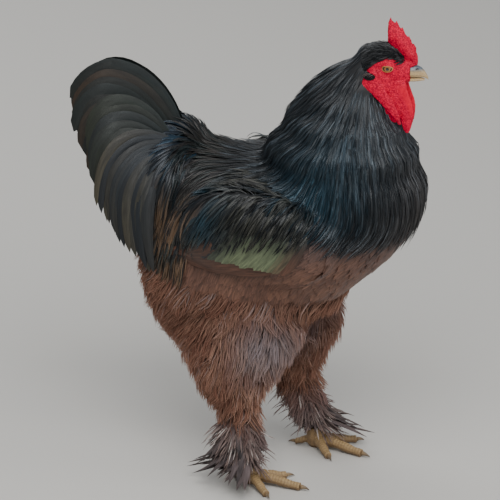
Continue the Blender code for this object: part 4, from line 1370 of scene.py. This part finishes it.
@dataclass(frozen=True)
class TintedHorn:
    """Horn and scaled skin coloured by the piece's own tint, with fine mottling."""

    name: str
    roughness: float
    mottle_mm: float
    mottle: float
    coat: float = 0.0

    def build(self) -> bpy.types.Material:
        """Makes the material."""
        made, tree, shader = new_material(self.name)
        tint = add_node(tree, "Attribute", {"attribute_name": "tint"})
        place = add_node(tree, "TexCoord")
        spots = add_node(
            tree, "TexNoise", i0=place.outputs["Object"],
            Scale=1000.0 / self.mottle_mm, Detail=4.0, Roughness=0.6)
        band = add_node(tree, "MapRange", Value=spots.outputs["Fac"], From_Min=0.3, From_Max=0.7,
                        To_Min=1 - self.mottle, To_Max=1 + 0.5 * self.mottle)
        shade = add_node(
            tree, "VectorMath", {"operation": "SCALE"}, i0=tint.outputs["Color"], Scale=band.outputs[0])
        tree.links.new(shade.outputs[0], shader.inputs["Base Color"])
        bump = add_node(tree, "Bump", Strength=0.2, Distance=0.0003, Height=spots.outputs["Fac"])
        tree.links.new(bump.outputs[0], shader.inputs["Normal"])
        shader.inputs["Roughness"].default_value = self.roughness
        shader.inputs["Coat Weight"].default_value = self.coat
        shader.inputs["Coat Roughness"].default_value = 0.03
        return made


def paint(obj: bpy.types.Object, tone: Callable[[Vector], np.ndarray]) -> None:
    """Writes the tint attribute of a piece from its places in the frame of the solids.

    Args:
        obj: The piece.
        tone: Gives the colour at a place.
    """
    mesh = obj.data
    layer = mesh.color_attributes.new("tint", "FLOAT_COLOR", "POINT")
    rows = np.ones((len(mesh.vertices), 4), np.float32)
    for vertex in mesh.vertices:
        rows[vertex.index, :3] = tone(vertex.co)
    layer.data.foreach_set("color", rows.ravel())


def push_out(obj: bpy.types.Object, amounts: np.ndarray) -> None:
    """Moves each vertex along its normal.

    Args:
        obj: The piece.
        amounts: How far each vertex goes.
    """
    mesh = obj.data
    moved = read(mesh.vertices, "co", 3) + read(mesh.vertices, "normal", 3) * amounts[:, None]
    mesh.vertices.foreach_set("co", moved.ravel())
    mesh.update()


@dataclass
class Head:
    """Bare face with comb, wattles, earlobes, lids and eyes, the beak, and the feathers of crown and ear."""

    eye_radius: float = 0.0088
    eye_place: tuple[float, float, float] = (0.0002, 0.0133, 0.0)
    opening: tuple[float, float] = (0.0076, 0.0042)
    lid_gap: float = 0.0006
    lid_thickness: float = 0.0004
    pupil_mm: float = 2.2
    iris_mm: float = 4.2

    def __post_init__(self) -> None:
        """Finds the head's own frame: the middle between the eyes, turned to its left."""
        self.place = Matrix.Translation(EYE_MIDDLE + DATUM) @ Matrix.Rotation(HEAD_TURN, 4, "Z")
        self.back = self.place.inverted()

    def set_down(self, obj: bpy.types.Object) -> bpy.types.Object:
        """Moves a form made in the head's own frame to its place."""
        obj.data.transform(self.place)
        return obj

    def form(
        self, place: tuple[float, float, float], radii: tuple[float, float, float], lean: float,
    ) -> bpy.types.Object:
        """An ellipsoid in the head's own frame, leaning forwards by an angle in degrees."""
        deselect_all()
        bpy.ops.mesh.primitive_uv_sphere_add(
            segments=24, ring_count=16, radius=1.0, location=place, rotation=(0.0, math.radians(-lean), 0.0))
        made = bpy.context.object
        made.scale = radii
        settle(made)
        return self.set_down(made)

    def build_face(self, red: bpy.types.Material) -> bpy.types.Object:
        """Melts head, comb, wattles and earlobes into one skin with grains and lids."""
        names = ("head", "comb", "wattle_left", "wattle_right", "earlobe_left", "earlobe_right")
        forms = [copy_solid(name, "face_form") for name in names]
        for side in Side:
            forms.append(self.form((0.003, side.value * 0.0125, -0.052), (0.0115, 0.0058, 0.038), -36.0))
            forms.append(self.form((-0.012, side.value * 0.0140, -0.024), (0.020, 0.0060, 0.020), -36.0))
            forms.append(self.form((-0.022, side.value * 0.0175, -0.022), (0.013, 0.0050, 0.024), -38.0))
            forms.append(self.form((0.014, side.value * 0.0120, -0.064), (0.010, 0.0045, 0.024), -30.0))
        forms.append(self.form((0.027, 0.0, 0.003), (0.012, 0.0075, 0.007), 0.0))
        face = melt(forms, "face_skin", 0.0009, 5, 0.0)
        bare = len(face.data.vertices)
        face.data.materials.append(red)
        rim_paint, _, shader = new_material("pale_lid_rim")
        shader.inputs["Base Color"].default_value = linear("#a87c45")
        shader.inputs["Roughness"].default_value = 0.45
        lids = [piece for side in Side for piece in (self.lid(side), self.rim(side))]
        for piece in lids:
            piece.data.materials.append(rim_paint if piece.name.startswith("rim") else red)
        face = join([face, *lids], "face_skin")
        unwrap(face)
        points = [self.back @ vertex.co for vertex in face.data.vertices]
        relief = np.zeros(len(points))
        for k, point in enumerate(points[:bare]):
            ring = math.hypot(point.x / 1.2, point.z) * 1000
            fold = 0.0
            if point.z > -0.02:
                fold = 0.00035 * math.sin(ring * 1.7) * math.exp(-((ring - 12) / 5) ** 2)
            grain = noise.noise(point * 420.0) + 0.6 * noise.noise(point * 900.0)
            even = 1 - 0.8 * math.exp(-(ring / 10) ** 4)
            relief[k] = 0.00050 * grain * even * (1 - 0.85 * self.calm(point)) + fold
        push_out(face, relief)
        crown = face.data.attributes.new("crown", "FLOAT", "POINT")
        crown.data.foreach_set("value", [self.dark(point) for point in points])
        smooth = face.data.attributes.new("smooth", "FLOAT", "POINT")
        smooth.data.foreach_set("value", [
            self.calm(point) if k < bare else 0.3 for k, point in enumerate(points)])
        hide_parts(*names)
        return face

    def dark(self, point: Vector) -> float:
        """How black the skin is under the feathers of crown and ear at a place of the head's own frame."""
        if math.hypot((point.x + 0.0255) / 0.0092, (point.z + 0.0126) / 0.0052) < 1:
            return 1.0
        comb_foot = 0.0390 - 0.78 * (point.x + 0.0085)
        if point.x > 0.022 or (abs(point.y) < 0.0085 and point.z > comb_foot and point.x > -0.012):
            return 0.0
        if point.x > -0.014 and point.z > min(0.033, comb_foot + 0.006):
            return 0.0
        return clamp((point.z - self.crown_edge(point.x)) / 0.002)

    def calm(self, point: Vector) -> float:
        """How smooth the skin is at a place of the head's own frame: 1 on the wattles, 0 on face and comb."""
        if point.z > -0.022:
            return 0.0
        front = (point.x - (0.012 - 0.50 * (point.z + 0.03))) / 0.006
        return clamp(front) * min(1.0, (-0.022 - point.z) / 0.01)

    def lid(self, side: Side) -> bpy.types.Object:
        """Lids of one eye: a shell over the eyeball with its opening cut out."""
        deselect_all()
        bpy.ops.mesh.primitive_uv_sphere_add(
            segments=64, ring_count=48, radius=self.eye_radius + self.lid_gap,
            rotation=(math.radians(90), 0.0, 0.0))
        shell = bpy.context.object
        shell.name = "lid_" + side.word
        settle(shell)
        bpy.ops.object.mode_set(mode="EDIT")
        made = bmesh.from_edit_mesh(shell.data)
        wide, high = self.opening
        gone = [f for f in made.faces if (
            f.calc_center_median().y * side.value < 0.001
            or (f.calc_center_median().x / wide) ** 2 + (f.calc_center_median().z / high) ** 2 < 1)]
        bmesh.ops.delete(made, geom=gone, context="FACES")
        bmesh.update_edit_mesh(shell.data)
        bpy.ops.object.mode_set(mode="OBJECT")
        thicken = shell.modifiers.new("thickness", "SOLIDIFY")
        thicken.thickness = self.lid_thickness
        apply_all(shell)
        x, y, z = self.eye_place
        shell.data.transform(Matrix.Translation((x, y * side.value, z)))
        return self.set_down(shell)

    def rim(self, side: Side) -> bpy.types.Object:
        """Pale rim along the opening of one eye's lids."""
        deselect_all()
        bpy.ops.mesh.primitive_torus_add(
            major_segments=64, minor_segments=10, major_radius=1.0, minor_radius=0.110,
            rotation=(math.radians(90), 0.0, 0.0))
        ring = bpy.context.object
        ring.name = "rim_" + side.word
        settle(ring)
        wide, high = self.opening
        x, y, z = self.eye_place
        reach = self.eye_radius + 0.0007
        for vertex in ring.data.vertices:
            flat = math.hypot(vertex.co.x, vertex.co.z)
            px, pz = vertex.co.x * wide / flat, vertex.co.z * high / flat
            grow = 1 + (flat - 1) * 0.9
            px, pz = px * grow, pz * grow
            depth = math.sqrt(max(0.0, reach ** 2 - px * px - pz * pz)) + vertex.co.y * 0.006
            vertex.co = Vector((x + px, side.value * (y + depth), z + pz))
        if side is Side.LEFT:
            ring.data.flip_normals()
        smooth_faces(ring)
        return self.set_down(ring)

    def build_eye(self, side: Side) -> bpy.types.Object:
        """Eyeball with an amber iris, dark pupil and wet surface."""
        deselect_all()
        bpy.ops.mesh.primitive_uv_sphere_add(
            segments=72, ring_count=56, radius=self.eye_radius, rotation=(math.radians(90), 0.0, 0.0))
        eye = bpy.context.object
        eye.name = "eyeball_" + side.word
        settle(eye)
        gaze = Vector((0.06, side.value, 0.02)).normalized()

        def tone(point: Vector) -> np.ndarray:
            """Colour of the eyeball by its distance from the gaze."""
            reach = (point.normalized() - gaze).length * self.eye_radius * 1000
            stripe = 0.5 + 0.5 * math.sin(math.atan2(point.z, point.x) * 40)
            amber = mix(colour("#5e3510"), colour("#a8702c"), stripe * 0.5 + 0.1 * reach)
            if reach < self.pupil_mm:
                return colour("#050404")
            if reach < self.iris_mm:
                return amber
            return mix(amber, colour("#1a0d08"), min(1.0, (reach - self.iris_mm) / 0.6))

        paint(eye, tone)
        for vertex in eye.data.vertices:
            if vertex.co.normalized().dot(gaze) > 0.86:
                vertex.co += vertex.co.normalized() * 0.0003
        x, y, z = self.eye_place
        eye.data.transform(Matrix.Translation((x, y * side.value, z)))
        smooth_faces(eye)
        unwrap(eye)
        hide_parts("eye_" + side.word)
        return self.set_down(eye)

    def build_beak(self, half: str) -> bpy.types.Object:
        """One half of the beak, rounded, with its slit nostrils and its colours."""
        beak = copy_solid("beak_" + half, "beak_horn_" + half)
        beak.data.transform(self.back)
        round_off(beak, 0.0005)
        slit = Vector((0.041, 0.0062, -0.0035))

        def tone(point: Vector) -> np.ndarray:
            """Bluish grey along the ridge, horn yellow at cutting edge and tip, with painted shade in the
            nostril.
            """
            ridge = clamp((point.z + 0.0085) / 0.005)
            tip = clamp((point.x - 0.052) / 0.006)
            shade = mix(colour("#b59a70"), colour("#57646f"), ridge * (1 - 0.7 * tip))
            base = mix(shade, colour("#8a7257"), 0.4 * noise.noise(point * 500))
            # Painted shade: the nostril slit of the upper half is painted near black
            hole = math.hypot((point.x - slit.x) / 0.0026, (point.z - slit.z) / 0.0010)
            return base if hole > 1 or half == "lower" else colour("#1a1512")

        paint(beak, tone)
        if half == "upper":
            gaps = [vertex.co - slit for vertex in beak.data.vertices]
            holes = [math.hypot(gap.x / 0.0030, gap.z / 0.0014) for gap in gaps]
            push_out(beak, np.array([-0.0009 * max(0.0, 1 - hole * hole) for hole in holes]))
        beak.data.transform(self.place)
        smooth_faces(beak)
        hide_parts("beak_" + half)
        return beak

    def crown_edge(self, x: float) -> float:
        """Height over the eye at which the crown's feathers begin, in the head's own frame."""
        return float(np.interp(x, (-0.040, -0.026, -0.008, 0.006, 0.015, 0.022, 0.030),
                               (-0.004, 0.0005, 0.0110, 0.0162, 0.0135, 0.0065, 0.0060)))

    def build_crown(self, skin_patch: np.ndarray, finish: bpy.types.Material) -> bpy.types.Object:
        """Short black feathers over the crown and the bristles of the ear, with a painted highlight on the
        tips at the nape.
        """
        chance = np.random.default_rng(61)
        bed = Bed(self.bed_form())
        places, _ = bed.scatter(26000, chance)
        shift = np.array(DATUM)
        own = [self.back @ Vector(place + shift) for place in places]
        crown = np.array([p.z > self.crown_edge(p.x) and p.x < 0.026 for p in own])
        roots = places[crown]
        roots = roots[thin_out(roots, np.full(len(roots), 0.0015))]
        tract = Tract("crown", 0.0015, lambda x, y, z: 0.0125 + 0.25 * max(0.0, 0.165 - x), 0.0026, 0.0036,
                      HACKLE_VANE, hackle_tones, stray=0.05)
        quill, outs = tract.grow(bed, roots, chance)
        plumes = Plumes(HACKLE_VANE)
        for k, root in enumerate(roots):
            # Painted highlight: tips near the nape are painted grey where light catches them; the odd other
            # tip is greyer at random
            pale = near(root[0], root[2], (0.126, 0.660), 0.012) * chance.random()
            pale += 0.45 * chance.random() ** 4
            tones = (COAL, mix(COAL, CROWN_GREY_AND_HIGHLIGHT, pale))
            plumes.add(list(quill[k]), list(outs[k]), 0.0028 * chance.uniform(0.8, 1.2), tones, skin_patch)
        for side in Side:
            for _ in range(220):
                turn, far = chance.uniform(0, 2 * math.pi), chance.random() ** 0.5
                x = -0.0243 + 0.0080 * far * math.cos(turn)
                z = -0.0138 + 0.0048 * far * math.sin(turn)
                spot = self.place @ Vector((x, side.value * 0.0225, z)) - DATUM
                point, out = bed.nearest(spot)
                point = point + out * 0.0035
                away = (out * 0.35 + Vector((-0.75, side.value * 0.3, -0.10))
                        + Vector(chance.standard_normal(3)) * 0.18).normalized()
                long = chance.uniform(0.005, 0.009)
                steps = HACKLE_VANE.steps
                curve = [point - out * 0.001 + away * (long * j / steps) - out * (0.0022 * (j / steps) ** 2)
                         for j in range(steps + 1)]
                tones = (mix(COAL, SMOKE, 0.4), mix(COAL, SMOKE, 0.5 + 0.5 * chance.random()))
                plumes.add(curve, [out] * (steps + 1), 0.0013, tones, skin_patch)
        piece = plumes.mesh("crown_feathers", chance)
        piece.data.materials.append(finish)
        return piece

    def bed_form(self) -> bpy.types.Object:
        """The bare head as a bed for the crown's feathers, which is removed at the end."""
        form = copy_solid("head", "crown_bed")
        unwrap(form)
        return form


@dataclass
class Foot:
    """Scaled foot with its toes, and the claws."""

    side: Side
    skin: Skin
    toes: tuple[tuple[str, float], ...] = (
        ("inner", -38.0), ("middle", 0.0), ("outer", 44.0), ("hind", -160.0))
    scute: float = 0.0046

    def toe_lines(self) -> list[tuple[Vector, Vector]]:
        """Root and direction of each toe in the frame of the solids."""
        yaw = -7.0 if self.side is Side.RIGHT else -17.0
        root = self.skin.feet[self.side] + DATUM
        lines = []
        for _, turn in self.toes:
            angle = math.radians(yaw + self.side.value * turn)
            lines.append((root, Vector((math.cos(angle), math.sin(angle), 0.0))))
        return lines

    def build(self, finish: bpy.types.Material) -> bpy.types.Object:
        """Rounds the foot and raises a row of scutes along each toe."""
        foot = copy_solid("foot_" + self.side.word, "scaled_foot_" + self.side.word)
        round_off(foot, 0.0009)
        lines = self.toe_lines()
        deep: dict[int, float] = {}
        relief = np.zeros(len(foot.data.vertices))
        for vertex in foot.data.vertices:
            best, along, across = 1.0, 0.0, 0.0
            for root, ahead in lines:
                gap = vertex.co - root
                far = gap.dot(ahead)
                off = abs(gap.cross(ahead).z)
                if far > 0.0 and off < best:
                    best, along, across = off, far, off
            phase = (along / self.scute) % 1.0
            top = max(0.0, vertex.normal.z) ** 0.5
            ridge = (phase ** 0.5) * min(1.0, (1 - phase) * 7)
            scute = ridge * top if along > 0.012 else 0.3 * top
            pads = 0.4 * max(0.0, -vertex.normal.z) * math.sin(along / 0.009 * 2 * math.pi)
            rough = 0.30 * noise.noise(vertex.co * 500)
            deep[vertex.index] = scute
            relief[vertex.index] = 0.0009 * (scute - 0.5 * top) + 0.0004 * pads + 0.0005 * rough
        push_out(foot, relief)
        count = iter(range(len(foot.data.vertices)))

        def tone(point: Vector) -> np.ndarray:
            """Dirty yellow horn, browner between the scutes and near the floor."""
            raised = deep[next(count)]
            base = mix(colour("#6f5438"), colour("#b89a6c"), 0.25 + 0.75 * raised)
            # Dirt in random patches, and darker within 6 mm of the floor
            dirt_and_floor_darkening = 0.45 * max(0.0, noise.noise(point * 130)) + 0.5 * max(0.0, 0.006 - point.z) / 0.006
            return mix(base, colour("#6a5440"), dirt_and_floor_darkening)

        paint(foot, tone)
        smooth_faces(foot)
        foot.data.materials.append(finish)
        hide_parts("foot_" + self.side.word)
        return foot

    def build_claws(self, finish: bpy.types.Material) -> list[bpy.types.Object]:
        """Claws, rounded and darker towards the tip."""
        made = []
        for (name, _), (root, _) in zip(self.toes, self.toe_lines()):
            node = f"claw_{self.side.word}_{name}"
            claw = copy_solid(node, "horn_" + node)
            soften = claw.modifiers.new("round", "SUBSURF")
            soften.levels = 1
            apply_all(claw)
            reach = [(vertex.co - root).length for vertex in claw.data.vertices]
            near_end, far_end = min(reach), max(reach)

            def tone(point: Vector) -> np.ndarray:
                """Horn brown that darkens to the tip."""
                share = ((point - root).length - near_end) / (far_end - near_end)
                return mix(colour("#9c8260"), colour("#4c4034"), share)

            paint(claw, tone)
            smooth_faces(claw)
            claw.data.materials.append(finish)
            unwrap(claw)
            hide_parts(node)
            made.append(claw)
        return made


@dataclass
class Studio:
    """Pale floor, soft lights and the camera."""

    yaw: float = 16.0
    pitch: float = 21.4
    distance: float = 10.0
    focal_px: float = 6960.0
    aim_px: tuple[float, float] = (282.0, 463.0)
    image_px: float = 500.0
    sensor_mm: float = 36.0
    # Key, fill and rim: place, size and watts
    lamps: tuple[tuple[tuple[float, float, float], float, float], ...] = (
        ((0.6, -1.9, 2.6), 1.9, 80.0), ((2.4, -0.6, 1.2), 1.8, 22.0), ((-1.8, 1.6, 2.2), 1.8, 34.0))
    lit_place: tuple[float, float, float] = (0.0, 0.0, 0.35)

    def camera(self) -> None:
        """Adds the camera at the photograph's angle, aimed so that the datum falls on its pixel."""
        turn = math.radians(self.yaw)
        tip = math.radians(self.pitch)
        back = Vector((math.sin(turn) * math.cos(tip), -math.cos(turn) * math.cos(tip), math.sin(tip)))
        right = Vector((math.cos(turn), math.sin(turn), 0.0))
        up = back.cross(right)
        scale = self.distance / self.focal_px
        half = self.image_px / 2
        centre = DATUM + right * ((half - self.aim_px[0]) * scale) + up * ((self.aim_px[1] - half) * scale)
        bpy.ops.object.camera_add(location=centre + back * self.distance)
        camera = bpy.context.object
        camera.rotation_euler = (-back).to_track_quat("-Z", "Y").to_euler()
        camera.data.lens = self.sensor_mm * self.focal_px / self.image_px
        camera.data.sensor_width = self.sensor_mm
        camera.data.clip_end = 100.0
        bpy.context.scene.camera = camera

    def floor(self) -> None:
        """Adds the floor."""
        bpy.ops.mesh.primitive_plane_add(size=12.0, location=(0.0, 0.0, -0.0006))
        floor = bpy.context.object
        floor.name = "floor"
        made, _, shader = new_material("matt_studio_floor")
        shader.inputs["Base Color"].default_value = linear("#c9c6c0")
        shader.inputs["Roughness"].default_value = 0.9
        floor.data.materials.append(made)

    def lights(self) -> None:
        """Adds a large soft key from above, a fill and a rim, with a pale sky."""
        for place, size, power in self.lamps:
            bpy.ops.object.light_add(type="AREA", location=place)
            lamp = bpy.context.object
            lamp.data.size = size
            lamp.data.energy = power
            back = Vector(place) - Vector(self.lit_place)
            lamp.rotation_euler = back.to_track_quat("Z", "Y").to_euler()
        world = bpy.data.worlds.new("sky")
        bpy.context.scene.world = world
        world.use_nodes = True
        world.node_tree.nodes["Background"].inputs["Color"].default_value = linear("#dfe4ea")
        world.node_tree.nodes["Background"].inputs["Strength"].default_value = 0.48


def attach(piece: bpy.types.Object) -> None:
    """Makes a piece ride the bird."""
    log.info("%s: %d faces", piece.name, len(piece.data.polygons))
    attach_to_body(piece, "root")


def main() -> None:
    """Builds the bird piece by piece and its studio."""
    logging.basicConfig(level=logging.INFO, format="%(asctime)s %(message)s")
    form = Skin()
    skin = form.build()
    log.info("skin: %d faces", len(skin.data.polygons))
    # Neck, saddle and cape: close barbs with a metal-like blue gloss in clear streaks
    hackle = FeatherFinish("hackle_feather", 0.33, 0.30, 0.10, "#7f9bb0", 0.60).build()
    # Body, wings and tail: duller vanes with a faint streak
    body = FeatherFinish("body_feather", 0.50, 0.15, 0.15, "#8a8f95", 0.35).build()
    # Down of thighs, shanks and boots: matt, with a soft pale bloom where light grazes it
    fluff = FeatherFinish("fluff_down", 0.85, 0.0, 0.35, "#c9a48c", 0.30).build()
    finishes = {
        "hackle": hackle, "saddle": hackle, "cape": hackle, "body": body, "fluff": fluff, "shank": fluff}
    skin.data.materials.append(body)
    paint(skin, lambda point: COAL if point.z > 0.35 else DARK_RUST * 0.6)
    bed = Bed(skin)
    for piece in Coat(bed).build(finishes):
        attach(piece)
    for side in Side:
        attach(Wing(side, bed).build(body))
        attach(Boot(side, form, bed).build(fluff))
    attach(Tail(bed).build(body))
    attach(skin)
    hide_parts("torso", "neck", "thigh_left", "thigh_right", "shank_left", "shank_right", "saddle")
    head = Head()
    attach(head.build_face(RedSkin().build()))
    attach(head.build_crown(bed.unwrap_at(EYE_MIDDLE), hackle))
    # Eye: wet, with a clear highlight
    wet = TintedHorn("wet_eye", 0.12, 0.6, 0.15, 1.0).build()
    # Beak: polished horn with soft mottling
    horn = TintedHorn("beak_horn", 0.38, 1.6, 0.25, 0.1).build()
    # Feet: dry scaled skin
    scaled = TintedHorn("scaled_skin", 0.62, 1.2, 0.35).build()
    # Claws: worn horn
    claw = TintedHorn("claw_horn", 0.45, 1.0, 0.30).build()
    for side in Side:
        eye = head.build_eye(side)
        eye.data.materials.append(wet)
        attach(eye)
        foot = Foot(side, form)
        attach(foot.build(scaled))
        for piece in foot.build_claws(claw):
            attach(piece)
    for half in ("upper", "lower"):
        beak = head.build_beak(half)
        beak.data.materials.append(horn)
        attach(beak)
    bpy.data.objects.remove(bpy.data.objects["crown_bed"])
    studio = Studio()
    studio.camera()
    studio.floor()
    studio.lights()


if __name__ == "__main__":
    main()
